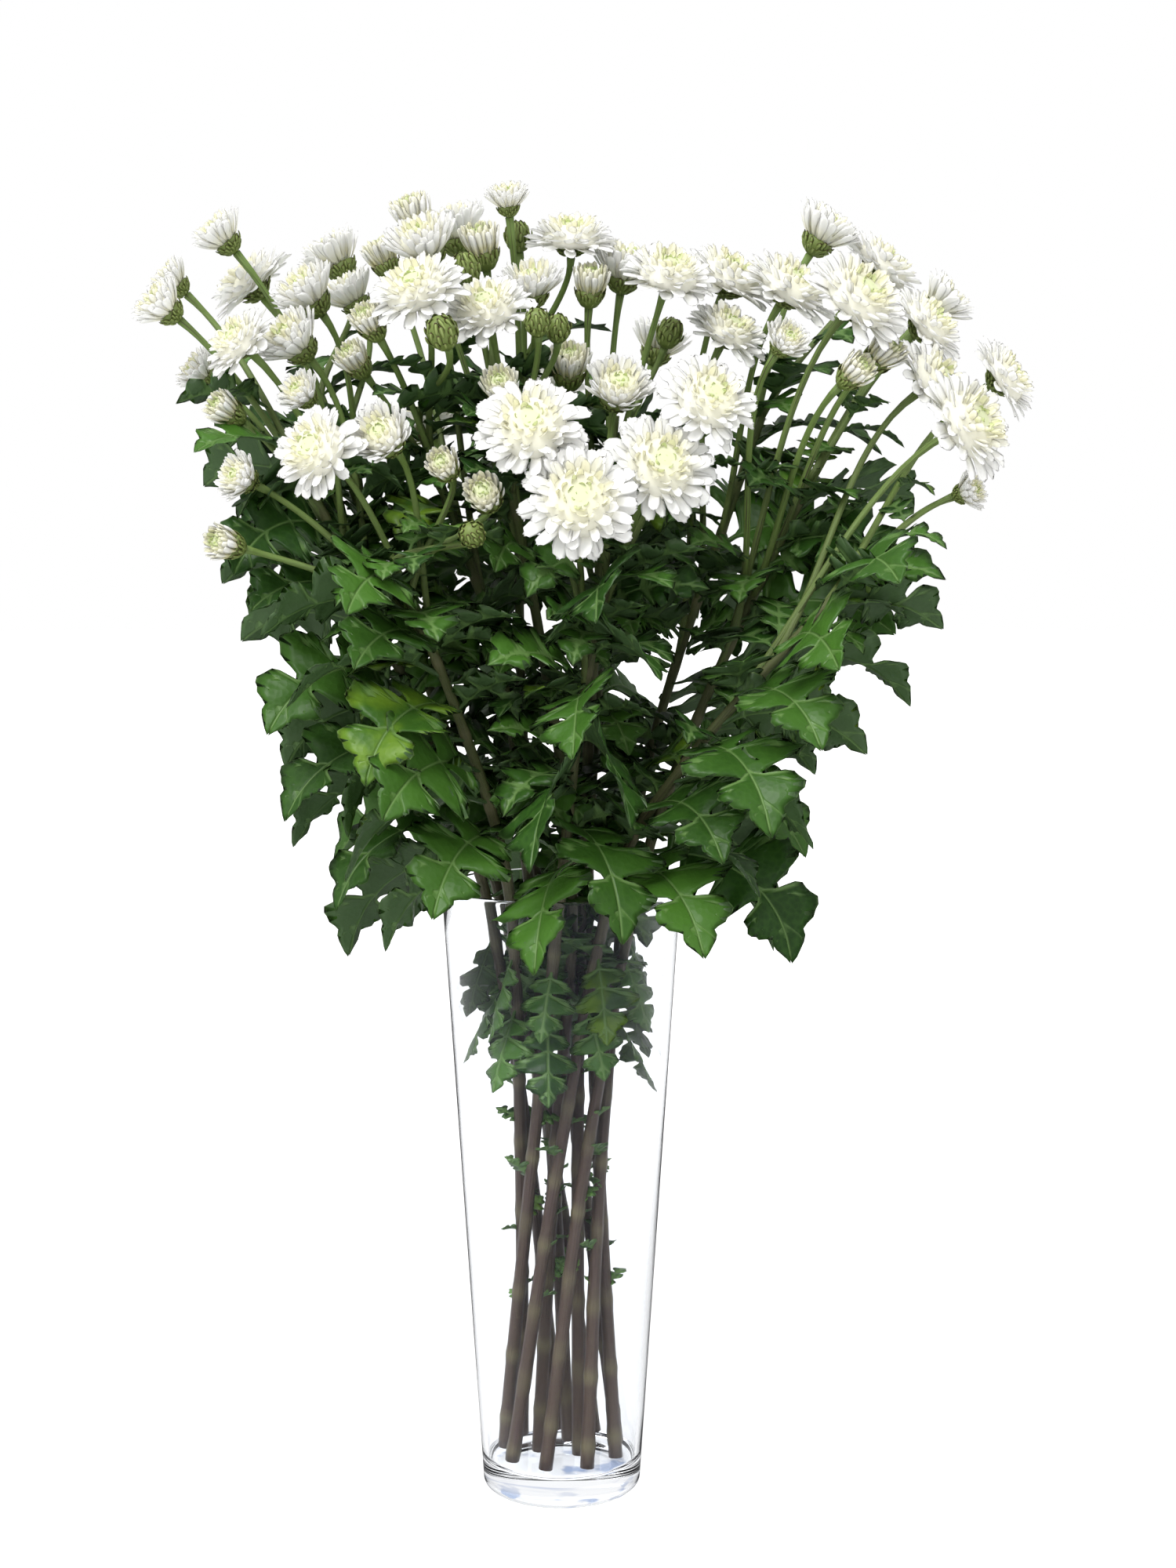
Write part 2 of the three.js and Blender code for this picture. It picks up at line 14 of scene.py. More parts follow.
import bpy
import numpy as np
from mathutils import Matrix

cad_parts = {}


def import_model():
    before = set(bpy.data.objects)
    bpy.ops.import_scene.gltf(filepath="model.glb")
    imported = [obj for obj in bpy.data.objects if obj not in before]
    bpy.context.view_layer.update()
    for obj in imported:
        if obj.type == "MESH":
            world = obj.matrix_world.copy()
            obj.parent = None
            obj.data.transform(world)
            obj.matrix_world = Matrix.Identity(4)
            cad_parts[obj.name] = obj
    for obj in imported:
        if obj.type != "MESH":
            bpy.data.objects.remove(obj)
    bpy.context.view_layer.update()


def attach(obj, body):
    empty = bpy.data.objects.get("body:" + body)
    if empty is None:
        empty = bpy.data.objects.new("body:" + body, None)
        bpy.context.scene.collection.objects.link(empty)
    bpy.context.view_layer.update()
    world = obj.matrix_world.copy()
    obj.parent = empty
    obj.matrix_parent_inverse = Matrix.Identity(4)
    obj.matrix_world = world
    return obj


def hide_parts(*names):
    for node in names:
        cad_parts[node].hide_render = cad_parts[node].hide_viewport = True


LOG = logging.getLogger("bunch")

UP = np.array([0.0, 0.0, 1.0])
GOLDEN_ANGLE = math.pi * (3 - math.sqrt(5))
NEARLY_UPRIGHT = 0.95

Values = np.ndarray | float


def unit(vectors: np.ndarray) -> np.ndarray:
    """The same directions with a length of one."""
    return vectors / np.linalg.norm(vectors, axis=-1, keepdims=True)


def between(low: Values, high: Values, share: Values) -> Values:
    """Value that lies a share of the way from low to high."""
    return low + (high - low) * share


def polar(radius: float, bearing: float, height: float) -> np.ndarray:
    """Point at a distance from the vase's axis, at a bearing in degrees and a height."""
    angle = math.radians(bearing)
    return np.array([radius * math.cos(angle), radius * math.sin(angle), height])


def bearing_of(way: np.ndarray) -> float:
    """Bearing of a direction round the vertical, in degrees."""
    return math.degrees(math.atan2(way[1], way[0]))


def stray(seed: float) -> float:
    """Repeatable scatter from -0.5 to 0.5."""
    wave = math.sin(seed * 12.9898) * 43758.5453
    return wave - math.floor(wave) - 0.5


def axes_across(direction: np.ndarray) -> tuple[np.ndarray, np.ndarray]:
    """Finds two directions square to a given one.

    Args:
        direction: A direction of length one.

    Returns:
        Two directions of length one, square to it and to each other.
    """
    helper = np.array([1.0, 0.0, 0.0]) if abs(direction[2]) > NEARLY_UPRIGHT else UP
    across = unit(np.cross(helper, direction))
    return across, np.cross(direction, across)


@lru_cache(maxsize=None)
def shell_pattern(rows: int, columns: int) -> tuple[np.ndarray, np.ndarray]:
    """Works out how a grid of points closes into a thin shell.

    The lower face has its own points inside the rim and shares the rim with the upper face.

    Args:
        rows: Points along the shell.
        columns: Points across it.

    Returns:
        A mask of the grid's inner points, and the shell's faces of four corners.
    """
    upper = np.arange(rows * columns).reshape(rows, columns)
    inner = np.zeros((rows, columns), bool)
    inner[1:-1, 1:-1] = True
    lower = upper.copy()
    lower[inner] = rows * columns + np.arange(inner.sum())
    faces = []
    for grid, turned in ((upper, False), (lower, True)):
        corners = [grid[:-1, :-1], grid[1:, :-1], grid[1:, 1:], grid[:-1, 1:]]
        if turned:
            corners.reverse()
        faces.append(np.stack([c.ravel() for c in corners], axis=1))
    return inner, np.concatenate(faces)


@dataclass
class Skin:
    """Points, faces and surface marks of one piece, gathered from many small closed shapes.

    spot and hue are two marks of three numbers at each point, which the finishes read.
    """

    points: list[np.ndarray] = field(default_factory=list)
    spots: list[np.ndarray] = field(default_factory=list)
    hues: list[np.ndarray] = field(default_factory=list)
    faces: list[list[int]] = field(default_factory=list)
    count: int = 0

    def take(self, points: np.ndarray, spots: np.ndarray, hues: np.ndarray, faces: np.ndarray) -> None:
        """Adds one closed shape.

        Args:
            points: Its points, one a row.
            spots: The first mark at each point.
            hues: The second mark at each point.
            faces: Corners of its faces, counted from its own first point.
        """
        self.points.append(points)
        self.spots.append(np.broadcast_to(spots, points.shape))
        self.hues.append(np.broadcast_to(hues, points.shape))
        self.faces.extend((np.asarray(faces) + self.count).tolist())
        self.count += len(points)

    def take_shells(self, upper: np.ndarray, lower: np.ndarray, spots: np.ndarray, hues: np.ndarray) -> None:
        """Adds thin closed shells that all have the same grid.

        Args:
            upper: Points of the upper faces, as shells by rows by columns by three.
            lower: Points of the lower faces. Only those inside the rim are used.
            spots: The first mark at the upper points.
            hues: The second mark at the upper points, whose middle number turns from 0 to 1 below.
        """
        shells, rows, columns, _ = upper.shape
        inner, faces = shell_pattern(rows, columns)
        under = hues.copy()
        under[..., 1] = 1.0
        for index in range(shells):
            self.take(
                np.concatenate([upper[index].reshape(-1, 3), lower[index][inner]]),
                np.concatenate([spots[index].reshape(-1, 3), spots[index][inner]]),
                np.concatenate([hues[index].reshape(-1, 3), under[index][inner]]),
                faces,
            )

    def take_loft(self, rings: np.ndarray, spots: np.ndarray, hues: np.ndarray) -> None:
        """Adds a tube or a turned form, closed at both ends by the middles of its first and last rings.

        Args:
            rings: Points as rings by sides by three.
            spots: The first mark at those points.
            hues: The second mark at those points.
        """
        levels, sides, _ = rings.shape
        grid = np.arange(levels * sides).reshape(levels, sides)
        following = np.roll(grid, -1, axis=1)
        walls = np.stack([grid[:-1], following[:-1], following[1:], grid[1:]], axis=-1).reshape(-1, 4)
        first, last = levels * sides, levels * sides + 1
        every = [np.concatenate([a.reshape(-1, 3), a[:1].mean(axis=1), a[-1:].mean(axis=1)])
                 for a in (rings, np.broadcast_to(spots, rings.shape), np.broadcast_to(hues, rings.shape))]
        offset = self.count
        self.take(*every, walls)
        for now, after in zip(offset + grid[0], offset + following[0]):
            self.faces.append([offset + first, int(after), int(now)])
        for now, after in zip(offset + grid[-1], offset + following[-1]):
            self.faces.append([offset + last, int(now), int(after)])

    def piece(self, name: str, material: bpy.types.Material) -> bpy.types.Object:
        """Makes the object that shows what was gathered.

        Args:
            name: The object's name.
            material: Its finish.

        Returns:
            The new object, linked to the scene.
        """
        mesh = bpy.data.meshes.new(name)
        mesh.from_pydata(np.concatenate(self.points).tolist(), [], self.faces)
        for mark, values in (("spot", self.spots), ("hue", self.hues)):
            layer = mesh.attributes.new(mark, "FLOAT_VECTOR", "POINT")
            layer.data.foreach_set("vector", np.concatenate(values).astype(np.float32).ravel())
        mesh.polygons.foreach_set("use_smooth", [True] * len(mesh.polygons))
        mesh.materials.append(material)
        mesh.update()
        made = bpy.data.objects.new(name, mesh)
        bpy.context.scene.collection.objects.link(made)
        return made


def settle(piece: bpy.types.Object, slot: str, *nodes: str) -> None:
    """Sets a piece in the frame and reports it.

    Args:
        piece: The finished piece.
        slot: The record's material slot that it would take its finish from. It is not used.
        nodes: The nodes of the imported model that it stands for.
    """
    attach(piece, "root")
    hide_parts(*nodes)
    LOG.info("%s: %d faces, for %s", piece.name, len(piece.data.polygons), ", ".join(nodes))


Colour = tuple[float, float, float]
Socket = bpy.types.NodeSocket


class Recipe:
    """Node tree of one material, with short ways to add what these finishes use."""

    def __init__(self, name: str) -> None:
        """Starts a material with an empty tree.

        Args:
            name: Name of the material.
        """
        self.material = bpy.data.materials.new(name)
        self.material.use_nodes = True
        self.tree = self.material.node_tree
        self.tree.nodes.clear()
        self.output = self.tree.nodes.new("ShaderNodeOutputMaterial")

    def node(self, kind: str, inputs: dict[str | int, object] | None = None,
             **settings: object) -> bpy.types.Node:
        """Adds a node.

        Args:
            kind: The node's type.
            inputs: A value or a socket for each of its inputs that isn't left as it comes.
            settings: Values of its own settings.

        Returns:
            The new node.
        """
        made = self.tree.nodes.new(kind)
        for name, value in settings.items():
            setattr(made, name, value)
        for name, value in (inputs or {}).items():
            if isinstance(value, bpy.types.NodeSocket):
                self.tree.links.new(value, made.inputs[name])
            elif isinstance(value, tuple) and len(value) == 3 and made.inputs[name].type == "RGBA":
                made.inputs[name].default_value = (*value, 1.0)
            else:
                made.inputs[name].default_value = value
        return made

    def maths(self, operation: str, first: Socket | float, second: Socket | float = 0.0) -> Socket:
        """Result of a sum on two numbers."""
        return self.node("ShaderNodeMath", {0: first, 1: second}, operation=operation).outputs[0]

    def ramp(self, value: Socket, low: float, high: float) -> Socket:
        """Smooth rise from 0 to 1 as a value goes from low to high."""
        inputs = {"Value": value, "From Min": low, "From Max": high}
        return self.node("ShaderNodeMapRange", inputs, interpolation_type="SMOOTHSTEP").outputs["Result"]

    def mix(self, share: Socket | float, first: Socket | Colour, second: Socket | Colour) -> Socket:
        """Colour a share of the way from the first to the second.

        Args:
            share: 0 for the first colour and 1 for the second.
            first: Colour, or a socket that gives one.
            second: Colour, or a socket that gives one.

        Returns:
            Socket that gives the mixed colour.
        """
        made = self.node("ShaderNodeMix", {0: share}, data_type="RGBA")
        for slot, value in ((6, first), (7, second)):
            if isinstance(value, bpy.types.NodeSocket):
                self.tree.links.new(value, made.inputs[slot])
            else:
                made.inputs[slot].default_value = (*value, 1.0)
        return made.outputs[2]

    def marks(self, name: str) -> tuple[Socket, Socket, Socket, Socket]:
        """The three numbers of a surface mark, and the mark as a vector.

        Args:
            name: Name of the mark on the mesh.

        Returns:
            Sockets of the three numbers, and the socket of the vector.
        """
        vector = self.node("ShaderNodeAttribute", attribute_name=name).outputs["Vector"]
        parts = self.node("ShaderNodeSeparateXYZ", {0: vector}).outputs
        return parts[0], parts[1], parts[2], vector

    def place(self) -> Socket:
        """Position in the object's own frame."""
        return self.node("ShaderNodeTexCoord").outputs["Object"]

    def stretched(self, vector: Socket, scale: Colour) -> Socket:
        """A vector with each of its numbers multiplied."""
        return self.node("ShaderNodeVectorMath", {0: vector, 1: scale}, operation="MULTIPLY").outputs[0]

    def noise(self, vector: Socket, scale: float, detail: float = 2.0) -> Socket:
        """Soft random pattern from 0 to 1."""
        inputs = {"Vector": vector, "Scale": scale, "Detail": detail}
        return self.node("ShaderNodeTexNoise", inputs).outputs[0]

    def bump(self, height: Socket, distance: float, strength: float = 1.0) -> Socket:
        """Normal of a surface raised by a pattern."""
        inputs = {"Height": height, "Distance": distance, "Strength": strength}
        return self.node("ShaderNodeBump", inputs).outputs[0]

    def tissue(self, colour: Socket, normal: Socket, glow: Socket | Colour, share: float,
               **sockets: float) -> None:
        """Ends the tree with thin living tissue, which reflects light and lets some through.

        Args:
            colour: Colour of the surface.
            normal: Its normal.
            glow: Colour of the light that comes through.
            share: How much of the whole that light is.
            sockets: Other values of the surface shader, with spaces in their names as underscores.
        """
        values = {name.replace("_", " "): value for name, value in sockets.items()}
        surface = self.node("ShaderNodeBsdfPrincipled", {"Base Color": colour, "Normal": normal, **values})
        through = self.node("ShaderNodeBsdfTranslucent", {"Color": glow, "Normal": normal})
        both = self.node("ShaderNodeMixShader", {0: share, 1: surface.outputs[0], 2: through.outputs[0]})
        self.tree.links.new(both.outputs[0], self.output.inputs[0])


@dataclass(frozen=True)
class PetalTissue:
    """Soft white petals, cream towards their feet and green at the heart of a head.

    spot holds the share along a petal, the place across it from -1 to 1, and the petal's rank from the
    outermost at 0 to the innermost at 1.
    """

    white: Colour = (0.97, 0.97, 0.96)
    cream: Colour = (0.94, 0.91, 0.60)
    lime: Colour = (0.62, 0.76, 0.26)
    green: Colour = (0.30, 0.50, 0.10)
    groove_scale: float = 5.0
    groove_depth: float = 0.00012

    def material(self) -> bpy.types.Material:
        """Builds the material.

        Returns:
            The finished material.
        """
        recipe = Recipe("petal_tissue")
        along, _, rank, spot = recipe.marks("spot")
        foot = recipe.maths("SUBTRACT", 1.0, recipe.ramp(along, 0.1, 0.75))
        warmth = recipe.maths("MULTIPLY", foot, recipe.maths("ADD", 0.42, recipe.ramp(rank, 0.1, 0.7)))
        inner = recipe.maths("MULTIPLY", recipe.ramp(rank, 0.45, 0.85), 0.6)
        colour = recipe.mix(recipe.maths("MAXIMUM", warmth, inner), self.white, self.cream)
        colour = recipe.mix(recipe.maths("MULTIPLY", recipe.ramp(rank, 0.80, 1.0), 0.8), colour, self.lime)
        heart = recipe.maths("MULTIPLY", recipe.ramp(rank, 0.92, 1.0), foot)
        colour = recipe.mix(heart, colour, self.green)
        streak = recipe.noise(recipe.stretched(spot, (1.2, self.groove_scale, 9.0)), 1.6, 3.0)
        faint = recipe.maths("MULTIPLY", recipe.ramp(streak, 0.45, 0.75), 0.10)
        colour = recipe.mix(faint, colour, self.cream)
        normal = recipe.bump(streak, self.groove_depth)
        recipe.tissue(colour, normal, colour, 0.34, Roughness=0.55, Specular_IOR_Level=0.3, Sheen_Weight=0.1)
        return recipe.material


@dataclass(frozen=True)
class LeafTissue:
    """Dark green lobed leaves with paler veins and grey-green undersides.

    spot holds the share along the leaf, the place across it and the distance to the nearest vein in metres.
    hue holds the leaf's own tint, 1 on the underside, and whether the leaf gets painted sunlight: yellow-green
    patches that make it look sunlit.
    """

    deep: Colour = (0.011, 0.042, 0.006)
    fresh: Colour = (0.052, 0.142, 0.016)
    vein: Colour = (0.135, 0.240, 0.070)
    under: Colour = (0.055, 0.105, 0.038)
    edge: Colour = (0.12, 0.20, 0.07)
    glow: Colour = (0.16, 0.36, 0.02)
    # Colour of the painted sunlight patches.
    young: Colour = (0.17, 0.29, 0.018)
    cloud_scale: float = 55.0
    cell_scale: float = 340.0
    vein_reach: tuple[float, float] = (0.0001, 0.0011)
    relief: float = 0.0006

    def material(self) -> bpy.types.Material:
        """Builds the material.

        Returns:
            The finished material.
        """
        recipe = Recipe("leaf_tissue")
        _, _, gap, _ = recipe.marks("spot")
        tint, below, youth, _ = recipe.marks("hue")
        place = recipe.place()
        cloud = recipe.noise(place, self.cloud_scale, 3.0)
        mesh = recipe.node("ShaderNodeTexVoronoi", {"Vector": place, "Scale": self.cell_scale})
        cells = mesh.outputs["Distance"]
        fresh = recipe.maths("MULTIPLY", tint, recipe.maths("ADD", 0.5, cloud))
        top = recipe.mix(fresh, self.deep, self.fresh)
        top = recipe.mix(recipe.maths("MULTIPLY", recipe.ramp(cells, 0.2, 0.9), 0.25), top, self.fresh)
        # Painted sunlight: yellow-green patches on a few leaves, painted in to make them look sunlit.
        painted_sunlight = recipe.maths("MULTIPLY", youth, recipe.ramp(cloud, 0.35, 0.6))
        top = recipe.mix(recipe.maths("MULTIPLY", painted_sunlight, 0.6), top, self.young)
        line = recipe.maths("SUBTRACT", 1.0, recipe.ramp(gap, *self.vein_reach))
        top = recipe.mix(recipe.maths("MULTIPLY", line, 0.75), top, self.vein)
        lower = recipe.mix(recipe.maths("MULTIPLY", line, 0.6), self.under, self.vein)
        off_rim = recipe.maths("ABSOLUTE", recipe.maths("SUBTRACT", below, 0.5))
        rim = recipe.maths("SUBTRACT", 1.0, recipe.ramp(off_rim, 0.0, 0.08))
        colour = recipe.mix(recipe.ramp(below, 0.5, 0.56), top, lower)
        colour = recipe.mix(recipe.maths("MULTIPLY", rim, 0.6), colour, self.edge)
        height = recipe.maths("SUBTRACT", recipe.maths("MULTIPLY", cells, 0.35), line)
        normal = recipe.bump(height, self.relief, 0.9)
        recipe.tissue(colour, normal, self.glow, 0.13, Roughness=0.42, Specular_IOR_Level=0.34)
        return recipe.material


@dataclass(frozen=True)
class StemBark:
    """Ribbed stems, purple-brown and woody low down, olive and then fresh green towards the heads.

    spot holds the cosine and sine of the bearing round the stem and the run along it in metres. hue holds the
    stem's youth, from woody at 0 to green at 1, then its own tint, and how close a joint is.
    """

    woody: Colour = (0.048, 0.030, 0.020)
    olive: Colour = (0.078, 0.095, 0.030)
    green: Colour = (0.145, 0.225, 0.052)
    purple: Colour = (0.044, 0.021, 0.024)
    scar: Colour = (0.13, 0.12, 0.06)
    fleck_scale: float = 420.0
    relief: float = 0.0005

    def material(self) -> bpy.types.Material:
        """Builds the material.

        Returns:
            The finished material.
        """
        recipe = Recipe("stem_bark")
        _, _, _, spot = recipe.marks("spot")
        youth, tint, joint, _ = recipe.marks("hue")
        streak = recipe.noise(recipe.stretched(spot, (2.6, 2.6, 14.0)), 2.2, 4.0)
        fleck = recipe.noise(recipe.place(), self.fleck_scale, 2.0)
        age = recipe.maths("ADD", youth, recipe.maths("MULTIPLY", recipe.maths("SUBTRACT", streak, 0.5), 0.5))
        colour = recipe.mix(recipe.ramp(age, 0.15, 0.55), self.woody, self.olive)
        colour = recipe.mix(recipe.ramp(age, 0.6, 1.0), colour, self.green)
        dark = recipe.maths("MULTIPLY", recipe.ramp(streak, 0.5, 0.72), recipe.maths("ADD", 0.25, tint))
        colour = recipe.mix(dark, colour, self.purple)
        colour = recipe.mix(recipe.maths("MULTIPLY", recipe.ramp(fleck, 0.55, 0.8), 0.3), colour, self.scar)
        colour = recipe.mix(recipe.maths("MULTIPLY", joint, 0.6), colour, self.scar)
        height = recipe.maths("ADD", streak, recipe.maths("MULTIPLY", fleck, 0.4))
        normal = recipe.bump(height, self.relief, 0.8)
        surface = recipe.node("ShaderNodeBsdfPrincipled", {
            "Base Color": colour, "Normal": normal, "Roughness": 0.5, "Specular IOR Level": 0.4})
        recipe.tree.links.new(surface.outputs[0], recipe.output.inputs[0])
        return recipe.material


@dataclass(frozen=True)
class BractTissue:
    """Olive bracts with a pale stripe down the middle and dark brown edges and tips.

    spot holds the share along a bract, the place across it from -1 to 1, and its own tint.
    """

    olive: Colour = (0.135, 0.185, 0.040)
    stripe: Colour = (0.36, 0.44, 0.15)
    brown: Colour = (0.060, 0.032, 0.012)
    cloud_scale: float = 700.0
    relief: float = 0.00015

    def material(self) -> bpy.types.Material:
        """Builds the material.

        Returns:
            The finished material.
        """
        recipe = Recipe("bract_tissue")
        along, across, tint, _ = recipe.marks("spot")
        side = recipe.maths("ABSOLUTE", across)
        middle = recipe.maths("SUBTRACT", 1.0, recipe.ramp(side, 0.05, 0.5))
        cloud = recipe.noise(recipe.place(), self.cloud_scale, 3.0)
        colour = recipe.mix(recipe.maths("MULTIPLY", middle, 0.7), self.olive, self.stripe)
        margin = recipe.maths("MAXIMUM", recipe.ramp(side, 0.62, 0.95), recipe.ramp(along, 0.84, 0.98))
        worn = recipe.maths("MULTIPLY", margin, recipe.maths("ADD", 0.35, tint))
        colour = recipe.mix(worn, colour, self.brown)
        normal = recipe.bump(cloud, self.relief)
        recipe.tissue(colour, normal, self.stripe, 0.08, Roughness=0.5, Specular_IOR_Level=0.4)
        return recipe.material


@dataclass(frozen=True)
class ClearGlass:
    """Clear pressed glass with a faint cold tint, which lets light through to what stands in it.

    gloss is the share of light that it mirrors head-on, against plain glass, shadow what it lets through to
    what it shades, and deep the colour of painted refraction shade: dark blue streaks painted into its thick
    foot where the glass would bend light, which fade out between deep_heights.
    """

    tint: Colour = (0.955, 0.970, 0.993)
    gloss: Colour = (0.20, 0.22, 0.26)
    # Colour of the painted refraction shade in the foot.
    deep: Colour = (0.22, 0.31, 0.55)
    deep_heights: tuple[float, float] = (0.003, 0.014)
    shadow: Colour = (0.97, 0.975, 0.98)
    refraction: float = 1.5

    def material(self) -> bpy.types.Material:
        """Builds the material.

        Returns:
            The finished material.
        """
        recipe = Recipe("clear_glass")
        ripple = recipe.noise(recipe.stretched(recipe.place(), (9.0, 9.0, 3.0)), 2.0, 1.0)
        normal = recipe.bump(ripple, 0.0008, 0.5)
        height = recipe.node("ShaderNodeSeparateXYZ", {0: recipe.place()}).outputs["Z"]
        # Painted refraction shade: dark blue streaks painted into the glass's colour low in the thick foot.
        streak = recipe.noise(recipe.stretched(recipe.place(), (1.0, 1.0, 3.5)), 55.0, 2.0)
        low = recipe.maths("SUBTRACT", 1.0, recipe.ramp(height, *self.deep_heights))
        painted_refraction_shade = recipe.maths("MULTIPLY", low, recipe.ramp(streak, 0.56, 0.66))
        colour = recipe.mix(painted_refraction_shade, self.tint, self.deep)
        glass = recipe.node("ShaderNodeBsdfPrincipled", {
            "Base Color": colour, "Roughness": 0.0, "IOR": self.refraction, "Transmission Weight": 1.0,
            "Specular Tint": self.gloss, "Normal": normal})
        clear = recipe.node("ShaderNodeBsdfTransparent", {"Color": self.shadow})
        shade = recipe.node("ShaderNodeLightPath").outputs["Is Shadow Ray"]
        both = recipe.node("ShaderNodeMixShader", {0: shade, 1: glass.outputs[0], 2: clear.outputs[0]})
        recipe.tree.links.new(both.outputs[0], recipe.output.inputs[0])
        return recipe.material


@dataclass(frozen=True)
class StudioPaper:
    """Plain pale paper under the vase, lit from below like a light table.

    mirrored is what shiny things see of it, so that the glass stays clear in front of the stems.
    """

    colour: Colour = (0.90, 0.90, 0.90)
    glow_share: float = 0.5
    glow_strength: float = 1.1
    mirrored: Colour = (0.16, 0.16, 0.165)

    def material(self) -> bpy.types.Material:
        """Builds the material.

        Returns:
            The finished material.
        """
        recipe = Recipe("studio_paper")
        grain = recipe.noise(recipe.place(), 300.0, 2.0)
        colour = recipe.mix(recipe.maths("MULTIPLY", grain, 0.02), self.colour, (1.0, 1.0, 1.0))
        surface = recipe.node("ShaderNodeBsdfDiffuse", {"Color": colour})
        glow = recipe.node("ShaderNodeEmission", {"Color": (1.0, 1.0, 1.0), "Strength": self.glow_strength})
        both = recipe.node("ShaderNodeMixShader", {
            0: self.glow_share, 1: surface.outputs[0], 2: glow.outputs[0]})
        dim = recipe.node("ShaderNodeEmission", {"Color": self.mirrored, "Strength": 1.0})
        path = recipe.node("ShaderNodeLightPath").outputs
        seen_through = recipe.maths("SUBTRACT", 1.0, path["Is Transmission Ray"])
        mirrored = recipe.maths("MULTIPLY", path["Is Glossy Ray"], seen_through)
        whole = recipe.node("ShaderNodeMixShader", {0: mirrored, 1: both.outputs[0], 2: dim.outputs[0]})
        recipe.tree.links.new(whole.outputs[0], recipe.output.inputs[0])
        return recipe.material


@dataclass
class GlassVase:
    """Tall tapered vase, turned as one piece with a thick floor and a rounded lip.

    The underside is hollowed a little inside its foot ring. hollow_steps give [distance in from the foot
    ring, share of the hollow's height], and dish is how much lower the middle of the inner floor lies.
    """

    height: float = 0.300
    rim_radius: float = 0.058
    foot_radius: float = 0.0385
    wall: float = 0.0028
    floor: float = 0.014
    corner: float = 0.004
    hollow: float = 0.0012
    hollow_steps: tuple[tuple[float, float], ...] = ((0.016, 1.0), (0.006, 0.4), (0.003, 0.0))
    wall_start: float = 0.02
    dish: float = 0.0006
    wall_rings: int = 14
    sides: int = 128
    finish: ClearGlass = field(default_factory=ClearGlass)

    def wall_at(self, height: float) -> float:
        """Outer radius at a height."""
        return between(self.foot_radius, self.rim_radius, height / self.height)

    def arc(self, middle: tuple[float, float], radius: float, start: float, end: float, steps: int) -> list:
        """Points of a round stretch of the profile.

        Args:
            middle: Distance from the axis and height of its centre.
            radius: Its radius.
            start: Angle it starts at, in degrees.
            end: Angle it ends at.
            steps: Number of steps between them.

        Returns:
            Points as distance from the axis and height.
        """
        angles = [math.radians(between(start, end, i / steps)) for i in range(steps + 1)]
        return [(middle[0] + radius * math.cos(a), middle[1] + radius * math.sin(a)) for a in angles]

    def profile(self) -> list[tuple[float, float]]:
        """Section from the middle of the underside, round the wall, to the middle of the inner floor.

        Returns:
            Points of [radius, height].
        """
        corner, lip = self.corner, self.wall / 2
        foot = self.wall_at(corner) - corner
        inside = self.wall_at(self.floor + corner) - self.wall - corner
        points = [(foot - inward, self.hollow * share) for inward, share in self.hollow_steps]
        points += self.arc((foot, corner), corner, -90, 0, 7)
        levels = np.linspace(self.wall_start, self.height - lip, self.wall_rings)
        points += [(self.wall_at(level), level) for level in levels]
        points += self.arc((self.wall_at(self.height - lip) - lip, self.height - lip), lip, 20, 180, 8)
        levels = np.linspace(self.height - 2 * lip, self.floor + corner, self.wall_rings)
        points += [(self.wall_at(level) - self.wall, level) for level in levels]
        points += self.arc((inside, self.floor + corner), corner, -12, -90, 6)
        return points + [(inside / 2, self.floor - self.dish)]

    def build(self) -> None:
        """Makes the vase."""
        bearings = np.linspace(0, 2 * math.pi, self.sides, endpoint=False)
        circle = np.stack([np.cos(bearings), np.sin(bearings), np.zeros(self.sides)], axis=1)
        rings = np.array([radius * circle + height * UP for radius, height in self.profile()])
        skin = Skin()
        skin.take_loft(rings, np.zeros(3), np.zeros(3))
        piece = skin.piece("glass_vase", self.finish.material())
        settle(piece, "glass", "vase")


class Stage(Enum):
    """How far a flower head has opened."""

    OPEN = "open"
    HALF = "half"
    TUFT = "tuft"
    BUD = "bud"


@dataclass(frozen=True)
class Blades:
    """Rule for the petals or bracts of a head, from the outermost to the innermost.

    Distances are shares of the head's radius. feet and tips give [share of the way in, distance from the
    axis, height], and the values in pairs go from the outermost blade to the innermost. rank is the rank
    that the outermost blade is marked with, higher where a head is younger and greener.

    bow is how far a blade's arc is pulled off the middle of its chord, as a share of the chord, and cup how
    far the blade curls across, in radians on either side. The outline gives [share of the length, share of the
    half-width] at its stations, with columns points across each. notch is the depth of the notch in its tip,
    and scatter scales how far the blades stray.
    """

    count: int
    feet: tuple[tuple[float, float, float], ...]
    tips: tuple[tuple[float, float, float], ...]
    bow: tuple[float, float]
    half_width: tuple[float, float]
    cup: tuple[float, float]
    thickness: float = 0.00035
    outline: tuple[tuple[float, float], ...] = (
        (0.0, 0.34), (0.2, 0.46), (0.42, 0.72), (0.62, 0.94), (0.79, 1.0), (0.93, 0.80), (1.0, 0.34))
    columns: int = 5
    notch: float = 0.03
    scatter: float = 1.0
    rank: float = 0.0

    def curve(self, points: tuple[tuple[float, float, float], ...], inward: np.ndarray) -> np.ndarray:
        """Places of the blades' feet or tips.

        Args:
            points: The rule's marked points.
            inward: Each blade's share of the way in.

        Returns:
            Distance from the axis and height of each, in shares of the head's radius.
        """
        table = np.array(points)
        return np.stack([np.interp(inward, table[:, 0], table[:, i]) for i in (1, 2)], axis=1)


